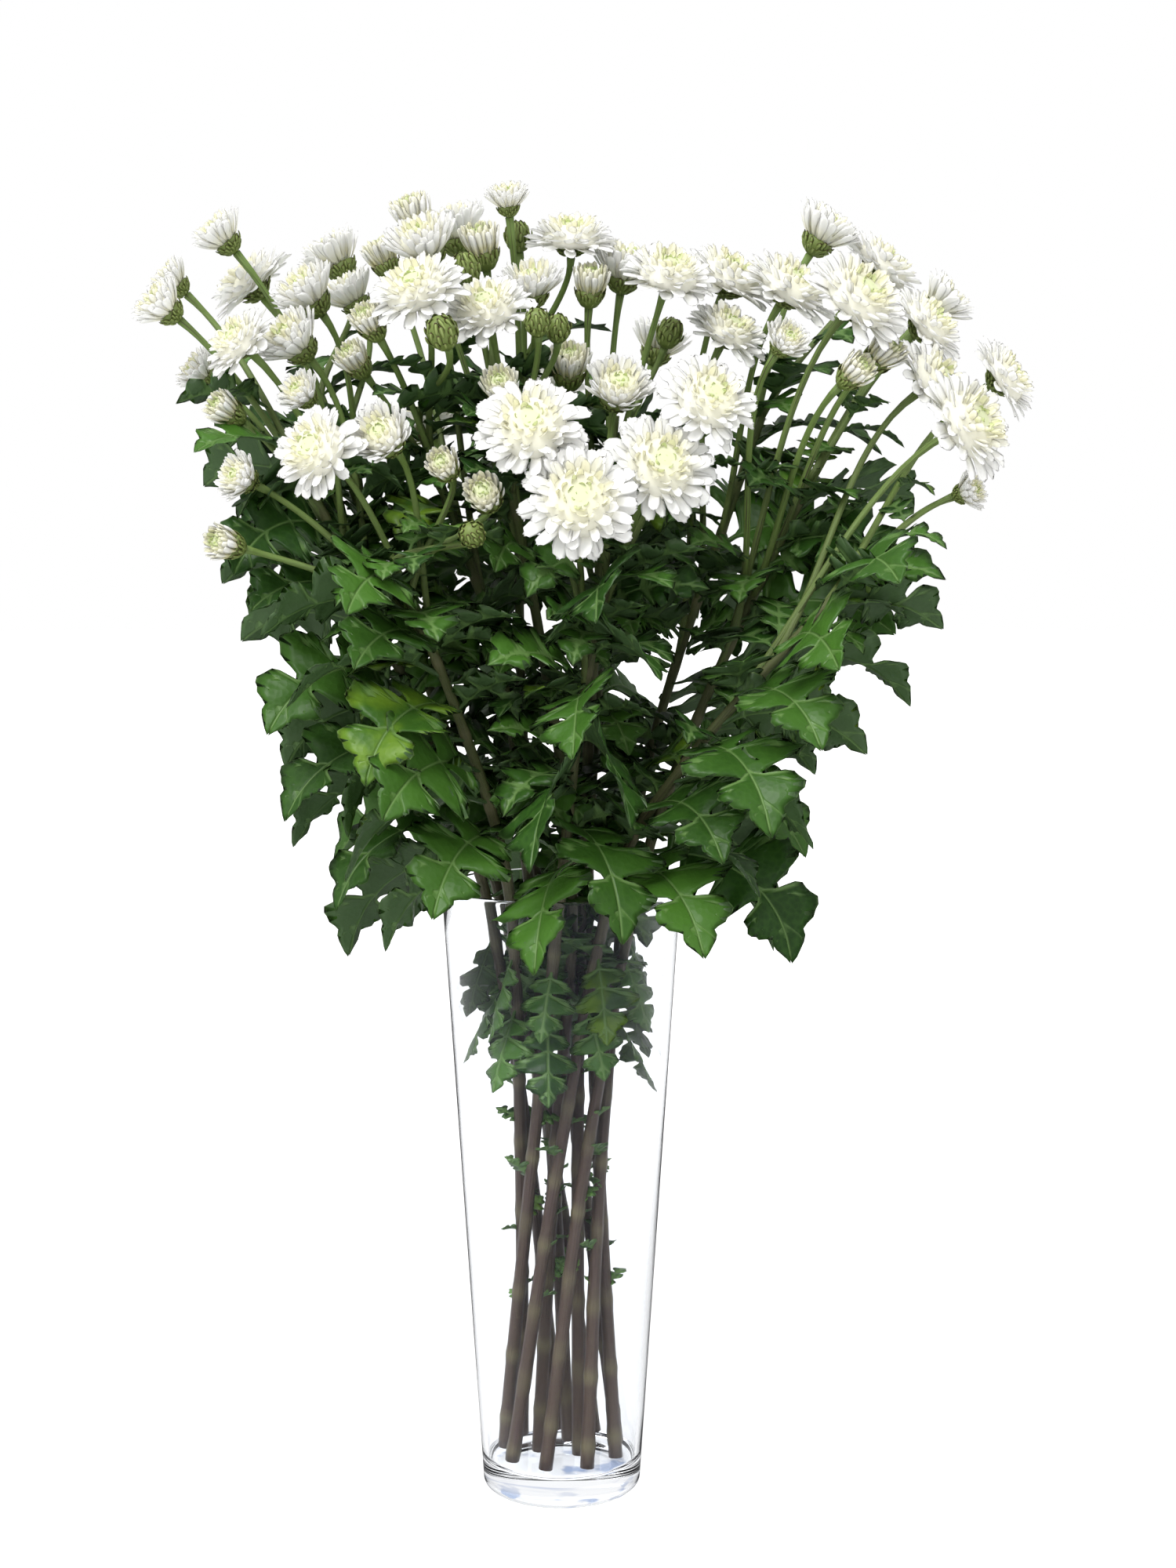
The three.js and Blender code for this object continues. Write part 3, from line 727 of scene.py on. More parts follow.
@dataclass(frozen=True)
class HeadForm:
    """Form of a head at one stage of opening, in shares of its radius.

    depth is how far the calyx reaches below the ring where the petals leave it. cup and core are profiles of
    [distance from the axis, height]: the calyx inside its bracts, and the heart that the petals stand out of.
    """

    depth: float
    cup: tuple[tuple[float, float], ...]
    bracts: Blades
    petals: Blades | None = None
    core: tuple[tuple[float, float], ...] = ()


BRACT_OUTLINE = ((0.0, 0.8), (0.3, 0.95), (0.6, 1.0), (0.85, 0.8), (1.0, 0.3))

FORMS = {
    Stage.OPEN: HeadForm(
        depth=0.30,
        cup=((0.05, -0.31), (0.15, -0.24), (0.27, -0.13), (0.33, -0.03), (0.24, 0.03)),
        petals=Blades(
            count=94,
            feet=((0.0, 0.24, -0.05), (0.5, 0.15, 0.02), (1.0, 0.02, 0.06)),
            tips=((0.0, 1.07, -0.10), (0.2, 1.03, 0.12), (0.38, 0.90, 0.34), (0.58, 0.68, 0.52),
                  (0.78, 0.42, 0.60), (0.92, 0.20, 0.52), (1.0, 0.06, 0.44)),
            bow=(0.10, -0.26), half_width=(0.150, 0.075), cup=(0.45, 1.1), scatter=1.4),
        core=((0.30, -0.03), (0.60, 0.00), (0.66, 0.10), (0.57, 0.28), (0.38, 0.42), (0.14, 0.45)),
        bracts=Blades(
            count=34,
            feet=((0.0, 0.06, -0.28), (1.0, 0.25, -0.10)),
            tips=((0.0, 0.27, -0.20), (0.5, 0.38, -0.10), (1.0, 0.45, -0.02)),
            bow=(-0.12, -0.10), half_width=(0.055, 0.05), cup=(0.7, 0.6), thickness=0.0006,
            outline=BRACT_OUTLINE, columns=3, notch=0.0)),
    Stage.HALF: HeadForm(
        depth=0.50,
        cup=((0.08, -0.51), (0.25, -0.42), (0.42, -0.22), (0.47, -0.02), (0.34, 0.05)),
        petals=Blades(
            count=76,
            feet=((0.0, 0.38, -0.04), (0.5, 0.22, 0.02), (1.0, 0.03, 0.06)),
            tips=((0.0, 1.06, 0.58), (0.25, 0.96, 0.76), (0.5, 0.75, 0.90), (0.75, 0.48, 0.92),
                  (1.0, 0.08, 0.76)),
            bow=(-0.06, -0.22), half_width=(0.165, 0.090), cup=(0.5, 1.1), scatter=1.3),
        core=((0.36, 0.0), (0.56, 0.26), (0.60, 0.46), (0.46, 0.64), (0.22, 0.70)),
        bracts=Blades(
            count=36,
            feet=((0.0, 0.10, -0.48), (1.0, 0.40, -0.22)),
            tips=((0.0, 0.36, -0.34), (0.5, 0.50, -0.14), (1.0, 0.55, 0.06)),
            bow=(-0.14, -0.12), half_width=(0.085, 0.075), cup=(0.7, 0.6), thickness=0.0006,
            outline=BRACT_OUTLINE, columns=3, notch=0.0)),
    Stage.TUFT: HeadForm(
        depth=0.85,
        cup=((0.13, -0.87), (0.40, -0.74), (0.60, -0.45), (0.66, -0.10), (0.5, 0.1)),
        petals=Blades(
            count=46,
            feet=((0.0, 0.55, -0.15), (1.0, 0.05, 0.0)),
            tips=((0.0, 1.0, 1.0), (0.35, 0.84, 1.2), (0.7, 0.5, 1.3), (1.0, 0.1, 1.15)),
            bow=(-0.14, -0.2), half_width=(0.20, 0.14), cup=(0.8, 1.2), columns=3, rank=0.5),
        core=((0.5, 0.0), (0.66, 0.5), (0.60, 0.82), (0.3, 1.0)),
        bracts=Blades(
            count=36,
            feet=((0.0, 0.18, -0.83), (1.0, 0.62, -0.35)),
            tips=((0.0, 0.55, -0.50), (0.5, 0.72, -0.12), (1.0, 0.78, 0.22)),
            bow=(-0.16, -0.12), half_width=(0.13, 0.12), cup=(0.7, 0.6), thickness=0.0005,
            outline=BRACT_OUTLINE, columns=5, notch=0.0)),
    Stage.BUD: HeadForm(
        depth=1.0,
        cup=((0.16, -1.02), (0.55, -0.85), (0.82, -0.4), (0.9, 0.2), (0.66, 0.8), (0.3, 1.1)),
        bracts=Blades(
            count=40,
            feet=((0.0, 0.25, -0.98), (0.5, 0.85, -0.3), (1.0, 0.7, 0.6)),
            tips=((0.0, 0.78, -0.5), (0.5, 1.0, 0.4), (0.8, 0.62, 1.05), (1.0, 0.2, 1.25)),
            bow=(-0.2, -0.2), half_width=(0.20, 0.18), cup=(0.8, 0.8), thickness=0.0005,
            outline=BRACT_OUTLINE, columns=5, notch=0.0)),
}

BUNCH_HEART = np.array([0.0, 0.080, 0.415])


@dataclass(frozen=True)
class BladeStray:
    """How far a head's blades stray from their rule, either way, where the rule's scatter is 1.

    turn, lean and twist are in radians, and rank is a share of the way in. length, width and cup are shares
    of their own size, bow is a share of the chord, and wave a share of the half-width.
    """

    turn: float = 0.10
    rank: float = 0.03
    length: float = 0.06
    bow: float = 0.05
    width: float = 0.12
    cup: float = 0.2
    lean: float = 0.12
    twist: float = 0.3
    wave: float = 0.10



@dataclass(frozen=True)
class Head:
    """One flower head: its centre, diameter and stage. It faces away from the heart of the bunch."""

    x: float
    y: float
    z: float
    diameter: float
    stage: Stage

    SIDES = 14
    CORE_ALONG = 0.5
    CORE_RANK = 0.9

    @property
    def centre(self) -> np.ndarray:
        """Centre of the ring where the petals leave the calyx."""
        return np.array([self.x, self.y, self.z])

    @property
    def facing(self) -> np.ndarray:
        """Direction the head faces."""
        return unit(self.centre - BUNCH_HEART)

    @property
    def radius(self) -> float:
        """Half of the head's diameter."""
        return self.diameter / 2

    @property
    def form(self) -> HeadForm:
        """Form of the head's stage."""
        return FORMS[self.stage]

    @property
    def foot(self) -> np.ndarray:
        """Where the pedicel ends under the calyx."""
        return self.centre - self.facing * self.form.depth * self.radius

    def seed(self) -> int:
        """Number that the head's scatter starts from, worked out from its place."""
        return int(round(1e3 * (self.x + 1) + 1e6 * (self.y + 1) + 1e9 * (self.z + 1)))

    def add_blades(self, skin: Skin, rule: Blades) -> None:
        """Adds the head's petals or bracts.

        Args:
            skin: The skin that they are added to.
            rule: How they are placed and shaped.
        """
        scatter = np.random.default_rng(self.seed() + rule.count)
        stray_by = BladeStray()
        count = rule.count

        def loose(amount: float) -> np.ndarray:
            """Scatter of the blades.

            Args:
                amount: The most that a blade strays, either way.

            Returns:
                One value for each blade.
            """
            return (scatter.random(count) - 0.5) * 2 * amount * rule.scatter

        def each(values: np.ndarray) -> np.ndarray:
            """Spreads values over the blades' points.

            Args:
                values: One value for each blade.

            Returns:
                The values, ready to meet a grid of blades by stations by columns.
            """
            return values[:, None, None]

        inward = (np.arange(count) + 0.5) / count
        turn = GOLDEN_ANGLE * np.arange(count) + loose(stray_by.turn)
        foot = rule.curve(rule.feet, inward) * self.radius
        tip = rule.curve(rule.tips, np.clip(inward + loose(stray_by.rank), 0, 1)) * self.radius
        tip = foot + (tip - foot) * (1 + loose(stray_by.length))[:, None]
        bow = between(*rule.bow, inward) + loose(stray_by.bow)
        half = between(*rule.half_width, inward) * self.radius * (1 + loose(stray_by.width))
        cup = between(*rule.cup, inward) * (1 + loose(stray_by.cup))
        lean, twist = loose(stray_by.lean), loose(stray_by.twist)
        wave, phase = loose(stray_by.wave), loose(math.pi)
        stations = np.array(rule.outline)
        along = stations[:, 0][None, :, None]
        across = np.linspace(-1, 1, rule.columns)[None, None, :]
        reach = along - (along > 0.99) * rule.notch * (np.cos(across * math.pi * 2) * 0.5 + across**2)
        chord = tip - foot
        side = np.stack([-chord[:, 1], chord[:, 0]], axis=1)
        middle = (foot + tip) / 2 + side * bow[:, None]
        points = [f[:, None, None] * (1 - reach)**2 + m[:, None, None] * 2 * reach * (1 - reach)
                  + t[:, None, None] * reach**2 for f, m, t in zip(foot.T, middle.T, tip.T)]
        slopes = [(m - f)[:, None, None] * (1 - reach) + (t - m)[:, None, None] * reach
                  for f, m, t in zip(foot.T, middle.T, tip.T)]
        steep = np.sqrt(slopes[0]**2 + slopes[1]**2)
        normal = (-slopes[1] / steep, slopes[0] / steep)
        width = each(half) * stations[:, 1][None, :, None]
        arc = each(cup)
        lateral = width * np.sin(across * arc) / arc
        height = width * (1 - np.cos(across * arc)) / arc
        height = height + each(half) * each(wave) * np.sin(along * 7 + each(phase)) * np.abs(across)
        turning = each(twist) * along
        lateral, height = (lateral * np.cos(turning) - height * np.sin(turning),
                           lateral * np.sin(turning) + height * np.cos(turning))
        thin = rule.thickness * (1 - across**2) * between(1.0, 0.5, along)
        angle = each(turn) + each(lean) * along**2
        first, second = axes_across(self.facing)
        outward = first * np.cos(angle)[..., None] + second * np.sin(angle)[..., None]
        around = second * np.cos(angle)[..., None] - first * np.sin(angle)[..., None]

        def set_in_place(lift: np.ndarray) -> np.ndarray:
            """Points of the blades' grid at a height over their middle face.

            Args:
                lift: Height over the middle face at each point of the grid.

            Returns:
                The points.
            """
            distance = points[0] + normal[0] * lift
            rise = points[1] + normal[1] * lift
            return (self.centre + outward * distance[..., None] + around * lateral[..., None]
                    + self.facing * rise[..., None])

        shape = height.shape
        rank = between(rule.rank, 1.0, inward)
        whole = [np.broadcast_to(a, shape) for a in (along, across, each(rank))]
        spots = np.stack(whole, axis=-1)
        hues = np.zeros(spots.shape)
        hues[..., 0] = each(scatter.random(count))
        skin.take_shells(set_in_place(height), set_in_place(height - thin), spots, hues)

    def turned(self, profile: tuple[tuple[float, float], ...]) -> np.ndarray:
        """Turns a profile round the head's axis.

        Args:
            profile: Distance from the axis and height of each ring, in shares of the head's radius.

        Returns:
            Points as rings by sides by three.
        """
        first, second = axes_across(self.facing)
        angles = np.linspace(0, 2 * math.pi, self.SIDES, endpoint=False)
        circle = first * np.cos(angles)[:, None] + second * np.sin(angles)[:, None]
        rings = [circle * wide + self.facing * lift for wide, lift in profile]
        return self.centre + np.array(rings) * self.radius

    def add_cup(self, skin: Skin) -> None:
        """Adds the solid cup that carries the bracts and petals."""
        skin.take_loft(self.turned(self.form.cup), np.array([0.5, 0.4, 0.2]), np.zeros(3))

    def add_petals(self, skin: Skin) -> None:
        """Adds the petals and the small core that they stand out of.

        Args:
            skin: The skin that they are added to.
        """
        core = self.turned(self.form.core)
        spots = np.zeros(core.shape)
        spots[..., 0] = self.CORE_ALONG
        spots[..., 2] = np.linspace(self.form.petals.rank, self.CORE_RANK, len(core))[:, None]
        skin.take_loft(core, spots, np.zeros(3))
        self.add_blades(skin, self.form.petals)


@dataclass(frozen=True)
class Ring:
    """Radii of the circle that a group of stems follows at the vase's foot, waist and neck."""

    foot: float
    waist: float
    neck: float


OUTER_RING = Ring(foot=0.029, waist=0.020, neck=0.038)
INNER_RING = Ring(foot=0.012, waist=0.008, neck=0.016)
CUT_END_HEIGHT = 0.017
WAIST_HEIGHT = 0.165
NECK_HEIGHT = 0.300
FOOT_TWIST = -50.0
NECK_TWIST = 45.0
NECK = 2


@dataclass(frozen=True)
class StemLine:
    """Smooth line through a stem's marked points, with a parameter from 0 to the last point's number."""

    points: np.ndarray

    @property
    def last(self) -> int:
        """Number of the last point."""
        return len(self.points) - 1

    def at(self, t: np.ndarray | float) -> np.ndarray:
        """Finds points of the line.

        Args:
            t: One or more parameters.

        Returns:
            The point of each.
        """
        place = np.asarray(t, float)
        span = np.minimum(np.floor(place).astype(int), self.last - 1)
        share = (place - span)[..., None]
        ends = self.points
        padded = np.vstack([2 * ends[0] - ends[1], ends, 2 * ends[-1] - ends[-2]])
        p0, p1, p2, p3 = (padded[span + k] for k in range(4))
        slope_in, slope_out, rise = (p2 - p0) / 2, (p3 - p1) / 2, p2 - p1
        square = 3 * rise - 2 * slope_in - slope_out
        cube = slope_in + slope_out - 2 * rise
        return p1 + share * (slope_in + share * (square + share * cube))

    def direction(self, t: float) -> np.ndarray:
        """Direction of the line at a parameter."""
        step = 0.02
        return unit(self.at(min(t + step, self.last)) - self.at(max(t - step, 0.0)))

    def parameter_at(self, height: float) -> float:
        """Parameter at which the rising line reaches a height.

        Args:
            height: The height.

        Returns:
            The parameter.
        """
        low, high = 0.0, float(self.last)
        for _ in range(24):
            middle = (low + high) / 2
            if self.at(middle)[2] < height:
                low = middle
            else:
                high = middle
        return (low + high) / 2


@dataclass(frozen=True)
class LeafHold:
    """How the leaves of a group of stems are held at the neck and at the crown: length, rise and droop.

    first is the run from the neck to the first leaf.
    """

    first: float
    low: tuple[float, float, float]
    high: tuple[float, float, float]


@dataclass(frozen=True)
class LeafTurn:
    """How far a leaf turns aside from its stem's bearing: the further out the stem stands, the more."""

    least: float
    most: float
    per_metre: float
    start: float


@dataclass(frozen=True)
class LeafStray:
    """How far leaves stray from their rule: a share of the length, and degrees."""

    length: float
    rise: float
    droop: float
    turn: float
    roll: float


LEAF_TURN = LeafTurn(least=15.0, most=42.0, per_metre=550.0, start=0.040)
LEAF_ROLL = -30.0
LEAF_STRAY = LeafStray(length=0.24, rise=20.0, droop=30.0, turn=12.0, roll=54.0)
VASE_LEAF_STRAY = LeafStray(length=0.24, rise=10.0, droop=0.0, turn=12.0, roll=70.0)
VASE_LEAF_HEIGHTS = (0.266, 0.24)
VASE_LEAF_CYCLE = 3
VASE_LEAF_STAGGER = 0.005
VASE_LEAF = (0.044, -60.0, 14.0)
OUTER_LEAVES = LeafHold(first=0.012, low=(0.092, 14.0, 100.0), high=(0.072, 42.0, 84.0))
INNER_LEAVES = LeafHold(first=0.062, low=(0.05, 20.0, 76.0), high=(0.058, 46.0, 84.0))


@dataclass
class Leaf:
    """One lobed leaf on an arc that leaves the stem at a bearing and a rise and then droops.

    Angles are in degrees. fold is the rise of the blade's halves as a share of their width, sink how far it
    starts inside the stem, half_share the half-width as a share of the length, and rib_start the share of the
    length where it is fully rolled. PUCKER is the rise between the veins, WAVES are [height, turn along, turn
    across, shift], and HANG is how far the sides hang, all with heights in shares of the length. The outline
    runs from the petiole to the tip as [share of the length, share of the half-width, share of the length at
    which the rib feeds that point]. Small leaves take every other point of it. VEINS are stretches between
    two points of [share of the length, share of the half-width].
    """

    root: np.ndarray
    bearing: float
    length: float
    rise: float
    droop: float
    roll: float
    seed: float
    fold: float = 0.22
    sink: float = 0.0018
    half_share: float = 0.34
    rib_start: float = 0.26
    small: bool = False

    OUTLINE = (
        (0, 0.07, 0), (0.09, 0.05, 0.09), (0.17, 0.06, 0.16), (0.205, 0.12, 0.19),
        (0.218, 0.32, 0.205), (0.222, 0.5, 0.21), (0.238, 0.61, 0.22), (0.262, 0.63, 0.228),
        (0.276, 0.66, 0.237), (0.296, 0.745, 0.25), (0.32, 0.74, 0.262), (0.342, 0.67, 0.277),
        (0.36, 0.62, 0.292), (0.376, 0.5, 0.31), (0.384, 0.34, 0.33), (0.392, 0.21, 0.345),
        (0.41, 0.165, 0.38), (0.424, 0.3, 0.395), (0.43, 0.5, 0.405), (0.44, 0.7, 0.415),
        (0.458, 0.79, 0.425), (0.478, 0.8, 0.435), (0.49, 0.88, 0.442), (0.51, 0.97, 0.452),
        (0.534, 0.96, 0.463), (0.552, 0.99, 0.475), (0.576, 0.985, 0.49), (0.594, 0.9, 0.508),
        (0.606, 0.82, 0.525), (0.622, 0.74, 0.54), (0.63, 0.58, 0.555), (0.634, 0.4, 0.575),
        (0.64, 0.26, 0.595), (0.66, 0.195, 0.625), (0.674, 0.32, 0.638), (0.682, 0.48, 0.648),
        (0.7, 0.6, 0.66), (0.724, 0.61, 0.672), (0.744, 0.625, 0.687), (0.772, 0.68, 0.705),
        (0.798, 0.63, 0.725), (0.812, 0.54, 0.745), (0.834, 0.48, 0.77), (0.848, 0.35, 0.795),
        (0.862, 0.27, 0.82), (0.89, 0.28, 0.85), (0.916, 0.24, 0.875), (0.972, 0.09, 0.94),
        (1, 0.012, 0.985))
    ROWS_OUT = (0.0, 0.07, 0.34, 0.67, 1.0)
    SMALL_ROWS_OUT = (0.0, 0.4, 1.0)
    # Threshold for the leaves that get painted sunlight patches.
    PAINTED_SUNLIGHT_OVER = 0.42
    PUCKER = 0.011
    PUCKER_REACH = 0.05
    WAVES = ((0.026, 17, 2, 40), (0.016, 41, 5, 13))
    HANG = 0.03
    HANG_STRAY = 0.05
    BLADE_THICKNESS = 0.0004
    PETIOLE_THICKNESS = 0.0016
    PETIOLE_TAPER = 0.3
    MIDRIB_SHARE = 0.25
    MIDRIB_SIDE = 0.04
    PETIOLE_ABOVE = 0.4
    VEINS = (
        ((0.0, 0.0), (0.985, 0.0)),
        ((0.215, 0.0), (0.302, 0.73)), ((0.245, 0.25), (0.250, 0.62)), ((0.27, 0.42), (0.362, 0.60)),
        ((0.40, 0.0), (0.570, 1.0)), ((0.445, 0.25), (0.440, 0.73)), ((0.48, 0.45), (0.496, 0.95)),
        ((0.49, 0.5), (0.614, 0.75)),
        ((0.62, 0.0), (0.790, 0.67)), ((0.66, 0.14), (0.708, 0.63)), ((0.72, 0.33), (0.840, 0.42)),
        ((0.80, 0.0), (0.925, 0.27)))

    @classmethod
    @lru_cache(maxsize=None)
    def pattern(cls, small: bool) -> tuple[np.ndarray, np.ndarray, np.ndarray]:
        """Works out the flat leaf.

        Args:
            small: Whether the leaf is a small one, with fewer points across it.

        Returns:
            Shares along and across of a grid of points from edge to edge, and each point's distance to the
            nearest vein as a share of the length.
        """
        outline = np.array(cls.OUTLINE[::2] if small else cls.OUTLINE)
        rows = cls.SMALL_ROWS_OUT if small else cls.ROWS_OUT
        steps = np.array([-s for s in rows[:0:-1]] + list(rows))
        out = np.abs(steps)[None, :]
        share = outline[:, 2:3] * (1 - out) + outline[:, 0:1] * out
        side = outline[:, 1:2] * steps[None, :]
        flat = np.stack([share, np.abs(side) * cls.half_share], axis=-1)
        gap = np.full(share.shape, 1.0)
        for start, end in cls.VEINS:
            a = np.array([start[0], start[1] * cls.half_share])
            b = np.array([end[0], end[1] * cls.half_share])
            t = np.clip(((flat - a) @ (b - a)) / ((b - a) @ (b - a)), 0, 1)
            gap = np.minimum(gap, np.linalg.norm(flat - a - t[..., None] * (b - a), axis=-1))
        return share, side, gap

    def place(self, share: np.ndarray, side: np.ndarray, lift: np.ndarray) -> np.ndarray:
        """Finds points on the drooping blade.

        Args:
            share: Share of the length.
            side: Share of the half-width, negative on one side.
            lift: Height over the blade.

        Returns:
            The points.
        """
        start = math.radians(self.rise)
        bend = math.radians(self.droop) / self.length
        outward = polar(1.0, self.bearing, 0.0)
        across = np.cross(UP, outward)
        slope = start - bend * (share * self.length - self.sink)
        tilt = math.radians(self.roll) * np.minimum(share / self.rib_start, 1)
        normal = -outward * np.sin(slope)[..., None] + UP * np.cos(slope)[..., None]
        lateral = across * np.cos(tilt)[..., None] + normal * np.sin(tilt)[..., None]
        above = normal * np.cos(tilt)[..., None] - across * np.sin(tilt)[..., None]
        half = self.length * self.half_share
        raised = lift + np.abs(side) * half * self.fold
        return (self.root
                + outward * ((math.sin(start) - np.sin(slope)) / bend)[..., None]
                + UP * ((np.cos(slope) - math.cos(start)) / bend)[..., None]
                + lateral * (side * half)[..., None]
                + above * raised[..., None])

    def add_to(self, skin: Skin) -> None:
        """Adds the leaf's blade and petiole.

        Args:
            skin: The skin that it is added to.
        """
        share, side, gap = self.pattern(self.small)
        pucker = self.length * self.PUCKER * np.clip(gap / self.PUCKER_REACH, 0, 1)
        waves = [deep * np.sin(share * along + side * across + phase * self.seed)
                 for deep, along, across, phase in self.WAVES]
        wave = self.length * np.abs(side) * sum(waves)
        hang = self.length * (self.HANG + self.HANG_STRAY * stray(self.seed + 6)) * side**2
        lift = pucker + wave - hang
        taper = np.clip(1 - share / self.PETIOLE_TAPER, self.MIDRIB_SHARE, 1)
        stalk = self.PETIOLE_THICKNESS * taper * (np.abs(side) < self.MIDRIB_SIDE)
        upper = self.place(share, side, lift + stalk * self.PETIOLE_ABOVE)
        lower = self.place(share, side, lift - self.BLADE_THICKNESS - stalk)
        spots = np.stack([share, side, gap * self.length], axis=-1)
        hues = np.zeros(spots.shape)
        hues[..., 0] = stray(self.seed + 7) + 0.5
        # The few leaves over this threshold get painted sunlight patches.
        hues[..., 2] = stray(self.seed + 8) > self.PAINTED_SUNLIGHT_OVER
        hues[0, :, 1] = hues[-1, :, 1] = hues[:, 0, 1] = hues[:, -1, 1] = 0.5
        skin.take_shells(upper[None], lower[None], spots[None], hues[None])


@dataclass(frozen=True)
class SmallLeaf:
    """Rule for the small leaves of one kind: its length, rise and droop, each with how far it strays.

    turn and roll are how far the bearing and the roll stray. first_seed keeps the scatter of the kinds apart.
    """

    length: tuple[float, float]
    rise: tuple[float, float]
    droop: tuple[float, float]
    turn: float
    roll: float
    first_seed: int

    def grow(self, root: np.ndarray, bearing: float, number: int, length: float | None = None) -> Leaf:
        """Makes one leaf.

        Args:
            root: Where it grows.
            bearing: Its bearing before scatter.
            number: Number that its scatter starts from.
            length: Its length before scatter, where it differs from the rule's.

        Returns:
            The leaf.
        """
        seed = self.first_seed + number
        return Leaf(
            root=root,
            bearing=bearing + self.turn * stray(seed + 1),
            length=(length or self.length[0]) * (1 + self.length[1] * stray(seed + 2)),
            rise=self.rise[0] + self.rise[1] * stray(seed + 3),
            droop=self.droop[0] + self.droop[1] * stray(seed + 4),
            roll=self.roll * stray(seed + 5),
            seed=seed,
            small=True)


PEDICEL_LEAF = SmallLeaf((0.050, 0.5), (36.0, 40.0), (70.0, 50.0), turn=70.0, roll=70.0, first_seed=2000)
SIDE_LEAF = SmallLeaf((0.050, 0.4), (34.0, 40.0), (80.0, 60.0), turn=360.0, roll=90.0, first_seed=9000)
NECK_LEAF = SmallLeaf((0.042, 0.3), (0.0, 50.0), (70.0, 60.0), turn=150.0, roll=80.0, first_seed=16000)
STUB = SmallLeaf((0.014, 0.9), (52.0, 40.0), (50.0, 60.0), turn=360.0, roll=80.0, first_seed=23000)


@dataclass(frozen=True)
class Finishes:
    """The living finishes of the bunch, each made once."""

    petal: bpy.types.Material
    leaf: bpy.types.Material
    stem: bpy.types.Material
    bract: bpy.types.Material

    @classmethod
    def made(cls) -> "Finishes":
        """Makes them all."""
        return cls(PetalTissue().material(), LeafTissue().material(), StemBark().material(),
                   BractTissue().material())


